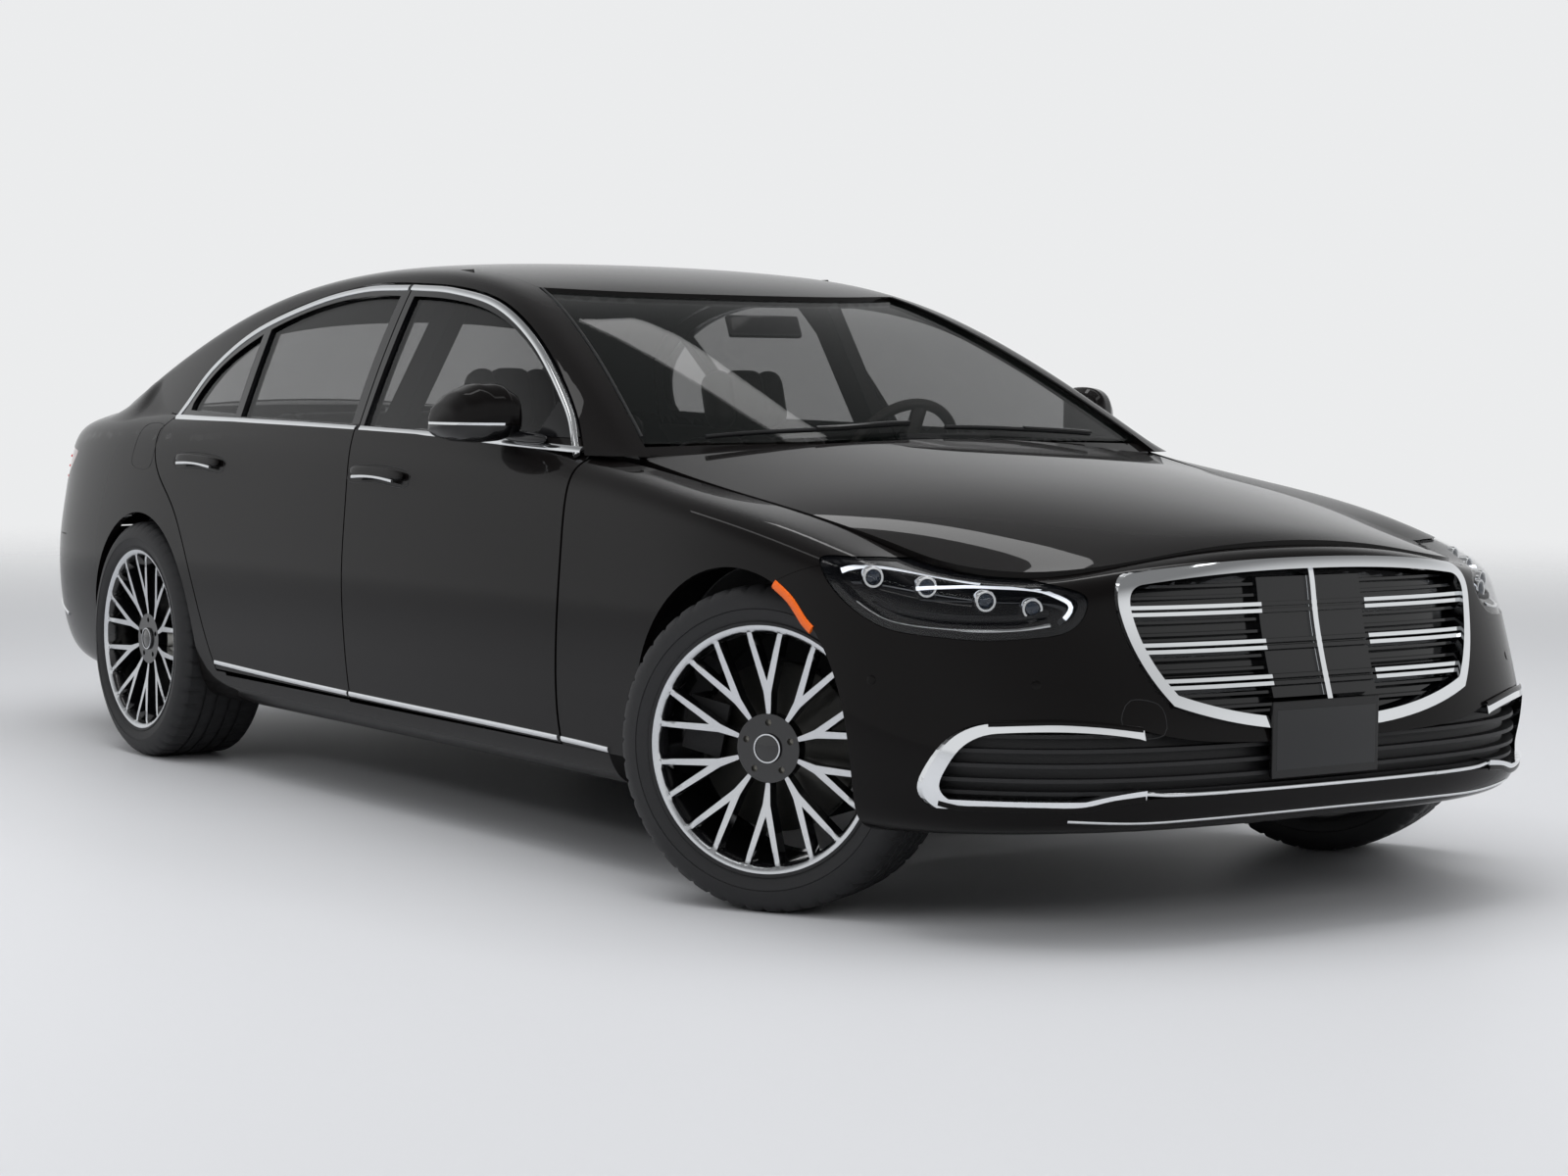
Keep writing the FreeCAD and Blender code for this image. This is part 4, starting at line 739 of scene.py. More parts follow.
for side, word in SIDES:
    swept("Intake_foot_bright_" + word, [from_front("front", sided(INTAKE_FOOT, side), 1.0)], 9, 7, CHROME)
swept("Intake_middle_bright", [from_front("front", [(-303, 312), (0, 312), (303, 312)], -0.2)], 9, 7, CHROME)
swept("Chin_bright", [from_front("front", CHIN, 0.5)], 8, 5, CHROME)
sensors("Parking_sensors", "front", FRONT_SENSORS)
swept("Tow_cover_line", [on_net("front", TOW_COVER, closed=True)], 2.2, 1.2, SATIN_BLACK, slot="black_plastic",
      closed=True)
for side, word in SIDES:
    swept("Side_marker_" + word, [on_net("front", SIDE_MARKER, 0.6, side)], 20, 7, AMBER, slot="lamp_red")

# Lamps: light bands, projectors and bright rims behind the clear covers
BAND_TOP = [(2086, 893, 752), (2104, 868, 758), (2140, 812, 756), (2208, 752, 744), (2300, 698, 731)]
BAND_LOW = [(2249, 822, 722), (2286, 774, 723), (2321, 712, 722), (2371, 655, 721), (2430, 612, 712),
            (2460, 590, 700), (2466, 592, 684), (2462, 604, 668)]
RIM_LOW = [(2150, 900, 692), (2182, 888, 674), (2223, 872, 656), (2280, 840, 646), (2336, 797, 642),
           (2378, 754, 642), (2425, 694, 645), (2455, 636, 655)]
INNER_STEP = [(x, y, z + 30) for x, y, z in RIM_LOW[1:]]
EYES = [(2140, 850, 722), (2243, 792, 704), (2345, 717, 690), (2412, 650, 684)]
EYE_DEPTH = 21
DOME = [(23, -18), (23, 2), (21.5, 5), (17, 5), (15.4, 1)]
LENS = [(15.6, -16), (15.6, 2), (14, 5), (10.5, 8), (5.5, 9.8), (1.2, 10.4)]
for side, word in SIDES:
    swept("Lamp_upper_band_" + word, [on_net("front", BAND_TOP, -12, side)], 16, 7, LIGHT, slot="lamp_glass")
    swept("Lamp_lower_band_" + word, [on_net("front", BAND_LOW, -14, side)], 10, 6, LIGHT, slot="lamp_glass")
    swept("Lamp_bright_rim_" + word, [on_net("front", RIM_LOW, -10, side)], 10, 9, CHROME)
    swept("Lamp_inner_step_" + word, [on_net("front", INNER_STEP, -22, side)], 14, 8, SATIN_BLACK,
          slot="black_plastic")
for side, word in SIDES:
    for number, (x, y, z) in enumerate(EYES):
        place, normal = nearest_on("front", np.array([(x, side * y, z)]) * MM)
        seat = [(place[0] / MM - normal[0] * EYE_DEPTH, (0.93, side * 0.35, 0.02))]
        turned_piece("Projector_%s_%d" % (word, number), seat, DOME, CHROME, "shell")
        turned_piece("Projector_lens_%s_%d" % (word, number), seat, LENS, EYE_GLASS, "shell")

# Finishes by place on the CAD forms
BAR_ROWS = (683, 607, 534)
BAR_REACH, MIDDLE_HALF, SPINE_HALF = 12.5, 150, 7.5
DOOR_BELTS = {"front": 1.006, "rear": 1.018}


def depth_below(net_name, centre):
    """Millimetres that places lie inside a design surface"""
    foot, normal = nearest_on(net_name, centre)
    return -((centre - foot) * normal).sum(1) / MM


def cut_at(shape, places, axis):
    """Cuts a form's faces along planes across an axis, so that a change of finish has a clean edge"""
    for place in places:
        facing, spot = Vector((0, 0, 0)), Vector((0, 0, 0))
        facing[axis], spot[axis] = 1, place
        bmesh.ops.bisect_plane(shape, geom=shape.verts[:] + shape.edges[:] + shape.faces[:], dist=1e-6,
                               plane_co=spot, plane_no=facing)


def grille_bright(centre, normal):
    """The grille's bright faces: ring, bars and the spine in the middle"""
    depth = depth_below("front", centre)
    y, z = np.abs(centre[:, 1]) / MM, centre[:, 2] / MM
    near_bar = np.min([np.abs(z - row) for row in BAR_ROWS], axis=0) < BAR_REACH
    spine = y < SPINE_HALF + 0.1
    front_face = (depth < -4) | ((depth < 8) & ((y > MIDDLE_HALF) | spine))
    flank = near_bar & (np.abs(normal[:, 2]) > 0.6) & (depth < 30) & (y > MIDDLE_HALF)
    return front_face | flank | (spine & (depth < 22))


PLATE_Y, BEHIND_PLATE = -0.036, 2.636
grille = made["grille"].data
cut_grille = bmesh.new()
cut_grille.from_mesh(grille)
cut_at(cut_grille, [y * MM for y in (-MIDDLE_HALF, MIDDLE_HALF, -SPINE_HALF, SPINE_HALF)], 1)
cut_grille.to_mesh(grille)
cut_grille.free()
for vertex in grille.vertices:
    if abs(vertex.co.y - PLATE_Y) < 0.14 and 0.334 < vertex.co.z < 0.488 and vertex.co.x > BEHIND_PLATE:
        vertex.co.x = BEHIND_PLATE
true_normals(grille, ("front",), 14)
faces_where(made["grille"], 1, grille_bright)
faces_where(made["intakes"], 1, lambda c, n: (depth_below("front", c) < 12) & (np.abs(c[:, 1]) > 0.499))
faces_where(made["headlamps"], 1, lambda c, n: depth_below("front", c) < 5.15)
for side, word in SIDES:
    for end, belt in DOOR_BELTS.items():
        door = made["door_%s_%s" % (end, word)]
        faces_where(door, 1, lambda c, n: c[:, 2] > belt)
        faces_where(door, 2, lambda c, n: (depth_below(end, c) > 24) & (c[:, 2] < belt - 0.02))
        faces_where(door, 2, lambda c, n: (depth_below("top", c) > 26) & (c[:, 2] > belt))
for node in ("roof_panel", "body_sides"):
    faces_where(made[node], 1, lambda c, n: (depth_below("top", c) > 24) & (c[:, 2] > 1.03) & (c[:, 0] > -1.6))
faces_where(made["floor_pan"], 1, lambda c, n: (n[:, 2] > 0.5) & (np.abs(c[:, 1]) < 0.9) & (c[:, 0] < 1.15))

# Wheels: half widths and radii of the tyres, and the turned parts at the hub, in millimetres
TYRES = {"front": (127.0, 356.0), "rear": (142.5, 353.75)}
BEAD_RADIUS = 269.6
TREAD_STEPS = 288
GROOVES, GROOVE_HALF, GROOVE_DEPTH = (-0.56, -0.2, 0.2, 0.56), 5, 7.5
CAP = [(33, -6), (33, 4), (31.5, 6), (29, 6.6), (28.2, 5.4), (27, 5.6), (14, 7.4), (2, 8)]
CAP_RING = [(32, 2), (32, 7.2), (30.5, 7.6), (29, 7.2), (29, 2)]
CAP_DEPTH, BOLT_CIRCLE, BOLT_COUNT, BOLT_STEPS = 42, 56, 5, 12
BOLT = [(10.5, -16), (10.5, -9), (9.2, -7.6), (6.4, -7.6), (6, -10), (3, -11)]
UPRIGHT = np.array((0, 0, 1.0))


def wheel_frame(node):
    """A wheel's centre, its outward axis, which steers with the front wheels, and its fore direction"""
    low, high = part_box(node)
    word = node.split("_")[-1]
    side = 1 if word == "left" else -1
    out = np.array((0.0, side, 0.0))
    if "front" in node:
        out = np.array(next(j for j in frame["joints"] if j["child"] == "front_%s_wheel" % word)["axis"]) * side
    return np.array((low + high) / 2), out, np.cross(out, UPRIGHT)


def machined(centre_of_wheel, out, half):
    """The rule for a rim's bright faces: its lip and the fronts of its spokes"""
    def rule(centre, normal):
        arm = (centre - centre_of_wheel) / MM
        reach = arm @ out
        radius = np.linalg.norm(arm - reach[:, None] * out, axis=1)
        facing = normal @ out
        spokes = (facing > 0.72) & (radius > 76) & (radius < 258) & (reach > half - 56)
        lip = (facing > 0.3) & (radius > 256) & (reach > half - 30)
        return spokes | lip
    return rule


def tyre_section(half, radius):
    """The tyre's closed section: (place across, radius) from one bead over the tread to the other"""
    wall = [(8, BEAD_RADIUS), (5, BEAD_RADIUS + 6), (7.5, BEAD_RADIUS + 9), (4, BEAD_RADIUS + 16),
            (1.2, BEAD_RADIUS + 34), (2.2, BEAD_RADIUS + 35), (0.2, radius - 50), (2.5, radius - 34),
            (9, radius - 20), (20, radius - 7.5), (30, radius - 2.4), (34, radius - 1.8)]
    tread = []
    for at in GROOVES:
        mid, top = at * (half - 34), radius - 1.6 * at * at
        rib = [(15, top - 0.2), (GROOVE_HALF, top), (GROOVE_HALF - 1.4, radius - GROOVE_DEPTH)]
        tread += [(mid - reach, rise) for reach, rise in rib]
        tread += [(mid + reach, rise) for reach, rise in rib[::-1]]
    return np.array([(t - half, r) for t, r in wall] + tread + [(half - t, r) for t, r in wall[::-1]])


def tyre(name, centre, out, fore, half, radius):
    """The tyre's form with its tread grooves, shoulder blocks and sidewall ribs"""
    section = tyre_section(half, radius)
    shoulder_line = GROOVES[-1] * (half - 34)
    along = np.repeat(section[None, :, 0], TREAD_STEPS, 0)
    reach = np.repeat(section[None, :, 1], TREAD_STEPS, 0)
    step = np.arange(TREAD_STEPS)[:, None]
    shoulder = (np.abs(along) > shoulder_line + 6) & (reach > radius - 9)
    inner = (np.abs(along) < shoulder_line - 4) & (reach > radius - 2)
    reach = np.where(shoulder & (step % 6 < 1), reach - 5, reach)
    reach = np.where(inner & ((step + (along / 12).astype(int)) % 8 < 1), reach - 3.5, reach)
    angle = np.linspace(0, 2 * math.pi, TREAD_STEPS, endpoint=False)[:, None, None]
    spoke = np.cos(angle) * UPRIGHT + np.sin(angle) * fore
    place = centre + (along[..., None] * out + reach[..., None] * spoke) * MM
    shape = shape_of(place.reshape(-1, 3), ring_faces(TREAD_STEPS, len(section), True))
    bmesh.ops.recalc_face_normals(shape, faces=shape.faces)
    return piece_of(name, shape, [RUBBER], 32)


for end, (half, radius) in TYRES.items():
    for side, word in SIDES:
        place_name = "%s_%s" % (end, word)
        body = place_name + "_wheel"
        centre, out, fore = wheel_frame("tyre_" + place_name)
        place_piece(tyre("Treaded_tyre_" + place_name, centre, out, fore, half, radius), "tyre_" + place_name)
        faces_where(made["rim_" + place_name], 1, machined(centre, out, half))
        hub = centre / MM + out * (half - CAP_DEPTH)
        turned_piece("Wheel_cap_" + place_name, [(hub, out)], CAP, DARK_ALLOY, body)
        turned_piece("Wheel_cap_ring_" + place_name, [(hub, out)], CAP_RING, MACHINED, body)
        for number in range(BOLT_COUNT):
            angle = 2 * math.pi * number / BOLT_COUNT + math.pi / 2
            spot = hub + (UPRIGHT * math.sin(angle) - fore * side * math.cos(angle)) * BOLT_CIRCLE
            turned_piece("Wheel_bolt_%s_%d" % (place_name, number), [(spot, out)], BOLT, STEEL, body,
                         BOLT_STEPS)

# Door handles and fuel flap
HANDLES = {"front": [(-66, 892), (80, 897), (236, 886)], "rear": [(-1200, 897), (-1050, 901), (-893, 890)]}
HANDLE_SIZES, HANDLE_PROUD, HANDLE_POWER, HANDLE_TAPER = (148, 15, 12), 9, 3.2, 0.06
FUEL_FLAP = [(-1541, 880), (-1548, 940), (-1541, 992), (-1470, 1003), (-1398, 992), (-1388, 935), (-1395, 876),
             (-1465, 864)]
for end, run in HANDLES.items():
    for side, word in SIDES:
        body = "%s_%s_door" % (end, word)
        points, normals = from_side(end, run, side)
        middle, facing = points[len(points) // 2] / MM, normals[len(points) // 2]
        put(pod("Handle_%s_%s" % (end, word), middle + facing * HANDLE_PROUD, points[-1] - points[0], facing,
                HANDLE_SIZES, LACQUER, HANDLE_POWER, HANDLE_TAPER), body)
        low, low_normals = from_side(end, [(x, z - 11) for x, z in run], side, 17.0)
        swept("Handle_bright_%s_%s" % (end, word), [(low[3:-3], low_normals[3:-3])], 9, 7, CHROME, body)
        (back_x, back_z), (mid_x, mid_z), (fore_x, fore_z) = run
        # A dark line in the black moulding finish round each handle's recess: painted shade where the recess meets
        # the door skin
        pocket = [(back_x - 22, back_z), (back_x, back_z + 21), (mid_x, mid_z + 23), (fore_x, fore_z + 21),
                  (fore_x + 22, fore_z), (fore_x, fore_z - 21), (mid_x, mid_z - 23), (back_x, back_z - 21)]
        swept("Handle_pocket_%s_%s" % (end, word), [from_side(end, pocket, side, -0.2, True)], 3, 2,
              SATIN_BLACK, body, "black_plastic", True)
swept("Fuel_flap_line", [from_side("rear", FUEL_FLAP, -1, -0.3, True)], 3, 2, SATIN_BLACK, slot="black_plastic",
      closed=True)

# Blank plate
slab("Front_plate_holder", (2624, PLATE_Y / MM, 405), (30, 268, 150), PLATE_EDGE, 6)
slab("Front_plate_frame", (2639.5, PLATE_Y / MM, 412), (7, 306, 160), PLATE_EDGE, 2.5)
slab("Front_plate_blank", (2642.2, PLATE_Y / MM, 412), (3, 284, 126), PLATE, 1.2)

# Rear end: lamp bars, lid strip, bumper strip and tail pipes
LAMP_BARS = [[(-2330 - 8 * number, 868, 890 - 34 * number), (-2450, 775, 892 - 34 * number),
              (-2540, 670, 890 - 34 * number), (-2600, 545, 880 - 34 * number), (-2620, 480, 872 - 34 * number)]
             for number in range(3)]
LID_LINE = [(-425, 906), (-300, 910), (0, 913), (300, 910), (425, 906)]
BUMPER_LINE = [(-2142, 912, 380), (-2250, 882, 398), (-2380, 810, 420), (-2480, 720, 432), (-2560, 600, 440),
               (-2610, 420, 444), (-2634, 200, 446), (-2640, 0, 446)]
TAIL_PIPE = [(-2500, 640, 300), (-2560, 560, 292), (-2596, 440, 290), (-2600, 380, 300), (-2596, 400, 352),
             (-2570, 540, 358), (-2515, 640, 350)]
for side, word in SIDES:
    for number, bar in enumerate(LAMP_BARS):
        swept("Tail_light_bar_%s_%d" % (word, number), [on_net("rear", bar, 0.2, side)], 7, 6, REAR_LIGHT,
              slot="lamp_red")
swept("Lid_bright", [from_front("rear", LID_LINE, 1.0, -2600)], 11, 8, CHROME, "boot_lid")
for side, word in SIDES:
    swept("Rear_bumper_bright_" + word, [on_net("rear", BUMPER_LINE, 0.4, side)], 12, 8, CHROME)
    swept("Tail_pipe_bright_" + word, [on_net("rear", TAIL_PIPE, 0.5, side, True)], 12, 9, CHROME, closed=True)
sensors("Rear_parking_sensors", "rear", REAR_SENSORS)

# Cabin: padded seats with channels, screens, vents and inner mirror
CHANNEL_WIDTH, PUFF, CHANNEL_DEPTH, CUSHION_SETBACK = 9, 9, 8, 6
CROSS_SEAMS = (-930, 260, 420)
VOXEL = 0.0095


def upholster(mesh, channels, middles, widths):
    """Crowns a cushion between its seams and presses it in along them"""
    place = np.empty(len(mesh.vertices) * 3)
    facing = np.empty(len(mesh.vertices) * 3)
    mesh.vertices.foreach_get("co", place)
    mesh.vertices.foreach_get("normal", facing)
    place, facing = place.reshape(-1, 3), facing.reshape(-1, 3)
    front = (facing[:, 2] > 0.45) | ((facing[:, 0] > 0.45) & (place[:, 2] > 0.45))
    push = np.zeros(len(place))
    for middle, wide in zip(middles, widths):
        across = (place[:, 1] / MM - middle) / wide
        seam = np.min([np.abs(across - c) * wide for c in channels], axis=0)
        crown = PUFF * np.clip(1 - across ** 2, 0, 1) * (1 - np.exp(-(seam / 16) ** 2))
        groove = CHANNEL_DEPTH * np.exp(-(seam / CHANNEL_WIDTH) ** 2)
        push = np.where((np.abs(across) < 1) & front, crown - groove - CUSHION_SETBACK, push)
    rows = np.min([np.abs(place[:, 0] / MM - x) for x in CROSS_SEAMS], axis=0)
    flat = (facing[:, 2] > 0.8) & (place[:, 2] < 0.55)
    push -= np.where(flat, 6 * np.exp(-(rows / CHANNEL_WIDTH) ** 2), 0)
    mesh.vertices.foreach_set("co", (place + facing * push[:, None] * MM).ravel())
    mesh.update()


def padded_seat(node, name, channels, middles, widths):
    """The seat's own form, closed up and upholstered"""
    piece = merged_copy(node, name)
    remesh = piece.modifiers.new("Close_up", "REMESH")
    remesh.mode = "VOXEL"
    remesh.voxel_size = VOXEL
    ease = piece.modifiers.new("Ease", "SMOOTH")
    ease.factor, ease.iterations = 0.6, 6
    baked_mesh(piece)
    upholster(piece.data, channels, middles, widths)
    piece.data.materials.clear()
    piece.data.materials.append(LEATHER)
    piece.data.shade_smooth()
    place_piece(piece, node)


padded_seat("front_seats", "Front_seats_padded", (-0.66, 0.66, -0.22, 0.22), (-390, 390), (255, 255))
padded_seat("rear_seat", "Rear_bench_padded", (-0.9, -0.5, -0.1, 0.1, 0.5, 0.9), (0,), (640,))
slab("Centre_display", (742, 0, 830), (14, 250, 240), SCREEN, 5, tilt=28)
slab("Driver_display", (776, 390, 962), (14, 300, 105), SCREEN, 5, tilt=-24)
for number, y in enumerate((-640, -560, -90, 90, 560, 640)):
    slab("Vent_%d" % number, (738, y, 925), (10, 64, 26), CHROME, 4, tilt=-24)
slab("Dash_wood_band", (722, -330, 868), (8, 520, 34), GLOSS_BLACK, 3)
slab("Inner_mirror", (470, 0, 1290), (18, 230, 62), GLOSS_BLACK, 8, tilt=-24)

# Wipers along the foot of the screen, drawn in x and y
WIPERS = ([(1150, 560), (1176, 330), (1188, 60)], [(1172, -40), (1176, -300), (1140, -620)])
for number, run in enumerate(WIPERS):
    points, normals = cast("top", smooth([(x, y, 1010) for x, y in run]), UPRIGHT)
    half = len(points) // 2
    blade, arm = points + normals * 5 * MM, points[:half] + normals[:half] * 11 * MM
    swept("Wiper_blade_%d" % number, [(blade, normals)], 9, 12, SATIN_BLACK, slot="black_plastic")
    swept("Wiper_arm_%d" % number, [(arm, normals[:half])], 12, 6, GLOSS_BLACK, slot="black_plastic")

# Edges that fold down from the bonnet and the boot lid, drawn in x and y
BONNET_EDGE = [(1440, 787), (1670, 776), (1900, 753), (2060, 733), (2180, 715), (2295.5, 667), (2383.5, 591.5),
               (2439.5, 479.5), (2467, 300), (2479, 0)]
LID_EDGE = [(-2231, 687), (-2320, 713), (-2438.5, 673.5), (-2518, 590), (-2557, 505)]
FOLD_THICK, FOLD_DROP, FOLD_LEAST = 2.4, 0.3, 3.2


def both_halves(line):
    """A line in x and y that ends on the middle, carried on to the other side"""
    return line + [(x, -y) for x, y in line[-2::-1]]


def dropped(net_name, plan, start, step=14):
    """Points drawn in x and y, cast down onto a surface, in millimetres"""
    return cast(net_name, smooth([(x, y, start) for x, y in plan], step), UPRIGHT)[0] / MM


def folded_edge(name, nets, plan, start, gap, deepest, sign, body):
    """A panel's edge, folded down towards the surface below it"""
    above, below = (dropped(net_name, plan, start) for net_name in nets)
    fold = np.clip(above[:, 2] - below[:, 2] - gap, FOLD_LEAST, deepest)
    lines = [above - (FOLD_DROP + fold * share)[:, None] * UPRIGHT for share in (0, 0.5, 1)]
    sheet_between(name, lines, FOLD_THICK, LACQUER, sign, body)


folded_edge("Bonnet_edge_fold", ("bonnet", "front"), both_halves(BONNET_EDGE), 850, 0.9, 15.0, -1, "bonnet")
for side, word in SIDES:
    plan = [(x, side * y) for x, y in LID_EDGE]
    folded_edge("Lid_edge_fold_" + word, ("boot", "rear"), plan, 1000, 1.6, 19.0, side, "boot_lid")

# Rear quarters: one skin from the pillar over the shoulder to the boot lid, as (x, outer y, inner y)
DECK = [(-1440, 872, 852), (-1500, 872, 832), (-1560, 874, 812), (-1640, 880, 785), (-1740, 884, 758),
        (-1840, 880, 728), (-1940, 868, 690), (-2020, 850, 656), (-2080, 836, 648), (-2150, 815, 641),
        (-2230, 785, 694.5), (-2320, 748, 720.5), (-2400, 716, 704)]
DECK_START, DECK_SINK, LID_SINK, DECK_PULL = 1000.0, 0.0008, 0.0012, 0.36
PILLAR_END, PILLAR_BLEND = -2020, 60


def quarter_deck(name, side):
    """A skin with a cubic section that leaves the shoulder and meets the pillar and lid along their slopes"""
    run = smooth([(x, outer_y, 0) for x, outer_y, _ in DECK], 14)[:, :2] / MM
    inner_y = np.interp(-run[:, 0], [-x for x, _, _ in DECK], [y for _, _, y in DECK])
    level = np.full(len(run), DECK_START)
    start, start_normal = cast("rear", np.stack((run[:, 0], side * run[:, 1], level), 1) * MM, UPRIGHT)
    inner = np.stack((run[:, 0], side * inner_y, level), 1) * MM
    pillar, pillar_normal = cast("top", inner, UPRIGHT)
    lid, lid_normal = cast("boot", inner, UPRIGHT)
    share = np.clip((PILLAR_END - run[:, 0]) / PILLAR_BLEND, 0, 1)[:, None]
    end = pillar * (1 - share) + (lid - lid_normal * LID_SINK) * share
    end_normal = pillar_normal * (1 - share) + lid_normal * share
    span = end - start
    pull = np.linalg.norm(span, axis=1)[:, None] * DECK_PULL

    def along(normal):
        flat = span - normal * (span * normal).sum(1)[:, None]
        return flat / np.linalg.norm(flat, axis=1)[:, None] * pull

    start, end = start - start_normal * DECK_SINK, end - end_normal * DECK_SINK
    poles = (start, start + along(start_normal), end - along(end_normal), end)
    lines = []
    for t in np.linspace(0, 1, 13):
        shares = ((1 - t) ** 3, 3 * t * (1 - t) ** 2, 3 * t * t * (1 - t), t ** 3)
        lines.append(sum(w * p for w, p in zip(shares, poles)) / MM)
    sheet_between(name, lines, 2.5, LACQUER, -side, "shell")


for side, word in SIDES:
    quarter_deck("Quarter_deck_" + word, side)

# Cowl between the rear window and the boot lid
WINDOW_FOOT = [(-2026, 648), (-2060, 560), (-2092, 440), (-2110, 320), (-2119, 200), (-2126, 0)]
LID_FRONT = [(-2144, 636), (-2164, 560), (-2184.5, 440), (-2198, 320), (-2206, 200), (-2212, 0)]
window_side = dropped("top", both_halves(WINDOW_FOOT), 1040, 30)
lid_run = np.array(both_halves(LID_FRONT)[::-1])
lid_x = np.interp(window_side[:, 1], lid_run[:, 1], lid_run[:, 0])
lid_y = window_side[:, 1] * LID_FRONT[0][1] / WINDOW_FOOT[0][1]
lid_plan = np.stack((lid_x, lid_y, np.full(len(lid_x), 1050.0)), 1)
lid_side = cast("boot", lid_plan * MM, UPRIGHT)[0] / MM
low_lid, low_window = lid_side - UPRIGHT * 5.0, window_side - UPRIGHT * 1.5
crest = (low_lid + low_window) / 2 + UPRIGHT * 1.5
sheet_between("Rear_cowl", [low_window, crest, low_lid, low_lid - UPRIGHT * 9], 2.5, GLOSS_BLACK, 1, "shell")

# Mirrors: sections as (y, rear, front, low, high) in millimetres, and the bright line's heights in metres
MIRROR_SECTIONS = [(902, 640, 758, 1012, 1088), (910, 610, 770, 1002, 1116), (940, 572, 768, 994, 1136),
                   (980, 546, 748, 990, 1134), (1016, 532, 714, 993, 1112), (1040, 530, 676, 1002, 1082),
                   (1053, 542, 632, 1016, 1050)]
BRIGHT_LOW, BRIGHT_HIGH, BRIGHT_FROM = 1.034, 1.040, 0.95
FLAT_BACK, GLASS_BACK = 16, 15
MIRROR_FOOT, MIRROR_FOOT_SIZES = (778, 905, 1006), (86, 14, 17)
SAIL = np.array([(792, 1009, 1094), (830, 1008, 1075), (870, 1008, 1055), (915, 1007, 1033),
                 (958, 1006, 1010)], float)


def mirror_shell(name, side):
    """The housing: rounded sections lofted outwards, in paint over gloss black with a bright line between"""
    turn = np.linspace(0, 2 * math.pi, RING + 1)[:-1]
    table = np.array(MIRROR_SECTIONS, float)
    rows = []
    for t in np.linspace(0, len(table) - 1, 25):
        y, rear, front, low, high = (np.interp(t, range(len(table)), column) for column in table.T)
        x = (front + rear) / 2 + (front - rear) / 2 * bent(np.cos(turn), 0.8)
        z = (high + low) / 2 + (high - low) / 2 * bent(np.sin(turn), 0.75)
        rows.append(np.stack((np.maximum(x, rear + FLAT_BACK), np.full(RING, side * y), z), 1))
    first, last = rows[0], rows[-1]
    for share, push in ((0.8, 2.0), (0.45, 3.4)):
        rows.insert(0, first.mean(0) + (first - first.mean(0)) * share - (0, side * push, 0))
        rows.append(last.mean(0) + (last - last.mean(0)) * share + (0, side * push, 0))
    count = len(rows) * RING
    ends = [tuple(range(RING)), tuple(range(count - 1, count - RING - 1, -1))]
    shape = shape_of(np.array(rows).reshape(-1, 3) * MM, ring_faces(len(rows), RING) + ends)
    cut_at(shape, (BRIGHT_LOW, BRIGHT_HIGH), 2)
    bmesh.ops.recalc_face_normals(shape, faces=shape.faces)
    piece = piece_of(name, shape, (LACQUER, GLOSS_BLACK, CHROME))
    faces_where(piece, 1, lambda c, n: (c[:, 2] < BRIGHT_LOW) | (n[:, 0] < -0.8))
    faces_where(piece, 2, lambda c, n: (c[:, 2] > BRIGHT_LOW) & (c[:, 2] < BRIGHT_HIGH) & (n[:, 0] >= -0.8)
                & (np.abs(c[:, 1]) > BRIGHT_FROM))
    return piece


for side, word in SIDES:
    body = "front_%s_door" % word
    place_piece(mirror_shell("Mirror_shell_" + word, side), "mirror_" + word)
    lines = [[(rear + GLASS_BACK, side * y, (low + high) / 2 + (high - low) / 2 * share)
              for y, rear, front, low, high in MIRROR_SECTIONS[1:6]] for share in (-0.66, -0.4, 0, 0.4, 0.66)]
    sheet_between("Mirror_glass_" + word, lines, 3, MIRROR_SILVER, side, body)
    foot_x, foot_y, foot_z = MIRROR_FOOT
    put(pod("Mirror_foot_" + word, (foot_x, side * foot_y, foot_z), (1, -0.12 * side, -0.05), (0, side, 0),
            MIRROR_FOOT_SIZES, GLOSS_BLACK), body)
    sail = []
    for share in (0, 0.33, 0.66, 1):
        height = SAIL[:, 1] + (SAIL[:, 2] - SAIL[:, 1]) * share
        spots = np.stack((SAIL[:, 0], np.full(len(SAIL), side * 900.0), height), 1)
        spots, facing = cast("top", spots * MM, (0, 1, 0))
        sail.append(spots / MM + facing * 1.6)
    sheet_between("Mirror_sail_" + word, sail, 2.4, GLOSS_BLACK, side, body)

# Grille: fine bright lines run on over the dark middle
lines = [from_front("front", [(side * 10, height), (side * 80, height), (side * 150, height)], -8.2)
         for side, word in SIDES for row in BAR_ROWS for height in (row - 7, row + 7)]
swept("Grille_middle_lines", lines, 3.4, 3.2, CHROME)

# Intake surround: a painted flange over the outer half of its bright rim, top and foot
FLANGE_FOOT = [(838, 297), (812, 289), (775, 289), (700, 289), (624, 289), (563, 302), (500, 309)]
FLANGE_HEAD = [(775, 459), (716, 462), (657, 463), (580, 457), (500, 446)]
for side, word in SIDES:
    paths = [from_front("front", sided(line, side), 6.6) for line in (FLANGE_FOOT, FLANGE_HEAD)]
    swept("Intake_flange_" + word, paths, 13, 5, LACQUER, slot="bumper_paint")


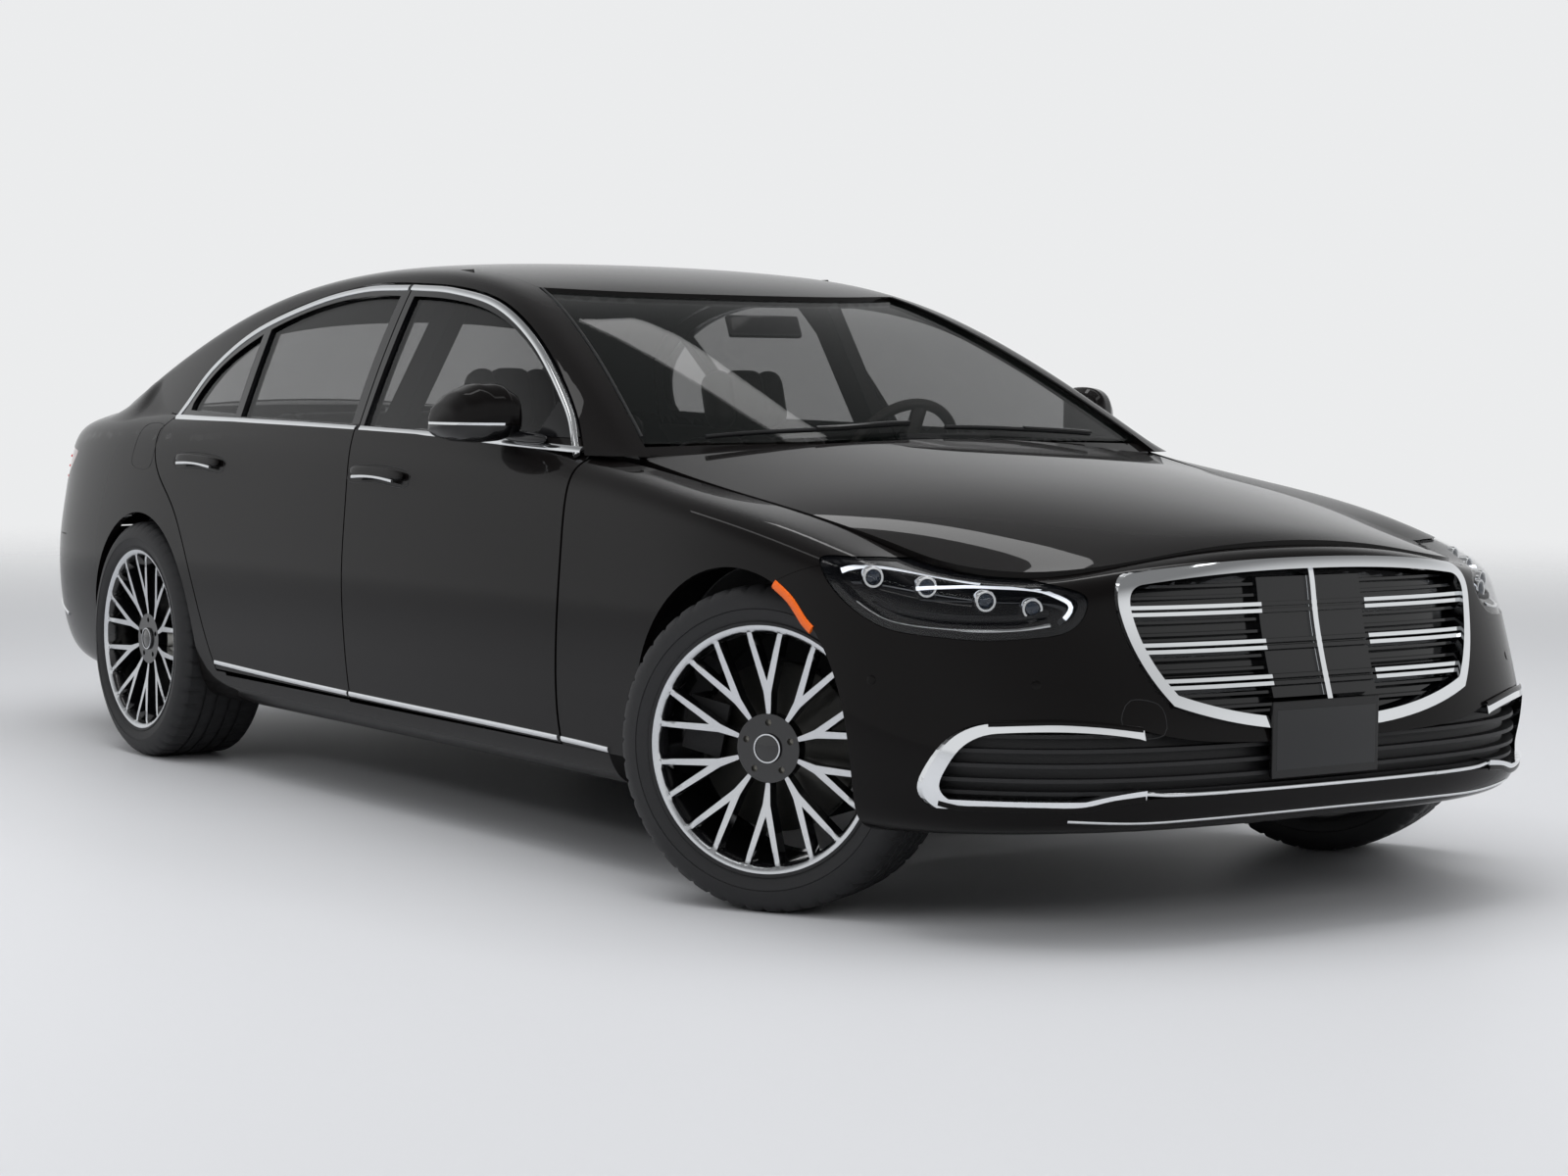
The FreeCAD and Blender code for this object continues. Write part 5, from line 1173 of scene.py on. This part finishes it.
# Studio: pale floor and backdrop, soft lamps
def studio_floor():
    """A wide pale floor that fades into the backdrop far from the car"""
    shape = bmesh.new()
    bmesh.ops.create_circle(shape, cap_ends=True, segments=96, radius=26)
    mesh = bpy.data.meshes.new("Studio_floor")
    shape.to_mesh(mesh)
    shape.free()
    # Rolled floor paint: pale, even and without shine
    paint = finish_of("Pale_painted_floor", "#c6c7ca", 0.5, grain=(40, 0.2))
    tree = paint.node_tree
    place = add(tree, "ShaderNodeTexCoord")
    reach = add(tree, "ShaderNodeVectorMath", {"operation": "LENGTH"}, i0=place.outputs["Object"])
    fade = add(tree, "ShaderNodeMapRange", {"interpolation_type": "SMOOTHSTEP"}, Value=reach.outputs["Value"],
               From_Min=5.0, From_Max=16.0, To_Min=1.0, To_Max=0.0)
    tree.links.new(fade.outputs[0], tree.nodes["Principled BSDF"].inputs["Alpha"])
    mesh.materials.append(paint)
    linked("Studio_floor", mesh)


def lamp(name, place, target, width, height, power, in_gloss=True):
    """A soft rectangular lamp that looks at a target"""
    data = bpy.data.lights.new(name, "AREA")
    data.shape = "RECTANGLE"
    data.size, data.size_y = width, height
    data.energy = power
    lamp_object = linked(name, data)
    lamp_object.location = place
    lamp_object.rotation_euler = (Vector(target) - Vector(place)).to_track_quat("-Z", "Y").to_euler()
    lamp_object.visible_glossy = in_gloss


def studio_air():
    """A light that grows with height, seen by the camera, in gloss and through glass as a pale backdrop"""
    world = bpy.data.worlds.new("Studio_air")
    world.use_nodes = True
    bpy.context.scene.world = world
    air = world.node_tree
    where = add(air, "ShaderNodeTexCoord")
    height = add(air, "ShaderNodeSeparateXYZ", Vector=where.outputs["Generated"])

    def by_height(low, high, at_low, at_high):
        return add(air, "ShaderNodeMapRange", {"interpolation_type": "SMOOTHSTEP"}, Value=height.outputs["Z"],
                   From_Min=low, From_Max=high, To_Min=at_low, To_Max=at_high).outputs[0]

    path = add(air, "ShaderNodeLightPath")
    seen = path.outputs["Is Camera Ray"]
    for ray in ("Is Transmission Ray", "Is Glossy Ray"):
        seen = add(air, "ShaderNodeMath", {"operation": "MAXIMUM"}, i0=seen, i1=path.outputs[ray]).outputs[0]
    level = add(air, "ShaderNodeMix", {"data_type": "FLOAT"}, i0=seen, i2=by_height(0.0, 0.75, 0.1, 0.95),
                i3=by_height(0.26, 0.68, 0.92, 0.25))
    back = air.nodes["Background"]
    back.inputs["Color"].default_value = colour("#f4f5f6")
    air.links.new(level.outputs[0], back.inputs["Strength"])


studio_floor()
lamp("Ceiling_soft", (0.5, 0, 6.5), (0, 0, 0), 9, 5, 330, False)
lamp("Front_soft", (9, -2, 4.5), (1, 0, 0.6), 5, 2, 120, False)
lamp("Side_soft", (1, -9, 5), (0, 0, 0.6), 9, 1.2, 110, False)
for side, word in SIDES[::-1]:
    lamp("Ceiling_tube_" + word, (0.6, side * 2.1, 4.6), (0.6, side * 0.6, 0), 7, 0.35, 20)
studio_air()

# Camera, as found from the photograph: place in metres, angles in degrees
CAMERA_PLACE = (7.3267, -4.6501, 1.1555)
CAMERA_YAW, CAMERA_DOWN, CAMERA_ROLL = 145.4389, 3.8881, 0.4802
FOCAL_PIXELS, PHOTO_WIDTH, SENSOR_WIDTH = 3160.24, 1600, 36
yaw, down, roll = (math.radians(a) for a in (CAMERA_YAW, CAMERA_DOWN, CAMERA_ROLL))
ahead = Vector((math.cos(down) * math.cos(yaw), math.cos(down) * math.sin(yaw), -math.sin(down)))
level_right = ahead.cross(Vector((0, 0, 1))).normalized()
level_up = level_right.cross(ahead)
right = level_right * math.cos(roll) + level_up * math.sin(roll)
up = level_up * math.cos(roll) - level_right * math.sin(roll)
lens = bpy.data.cameras.new("Photo_camera")
lens.sensor_width = SENSOR_WIDTH
lens.lens = SENSOR_WIDTH * FOCAL_PIXELS / PHOTO_WIDTH
camera = linked("Photo_camera", lens)
camera.matrix_world = Matrix.Translation(CAMERA_PLACE) @ Matrix((right, up, -ahead)).transposed().to_4x4()
scene = bpy.context.scene
scene.camera = camera
scene.view_settings.view_transform = "Standard"
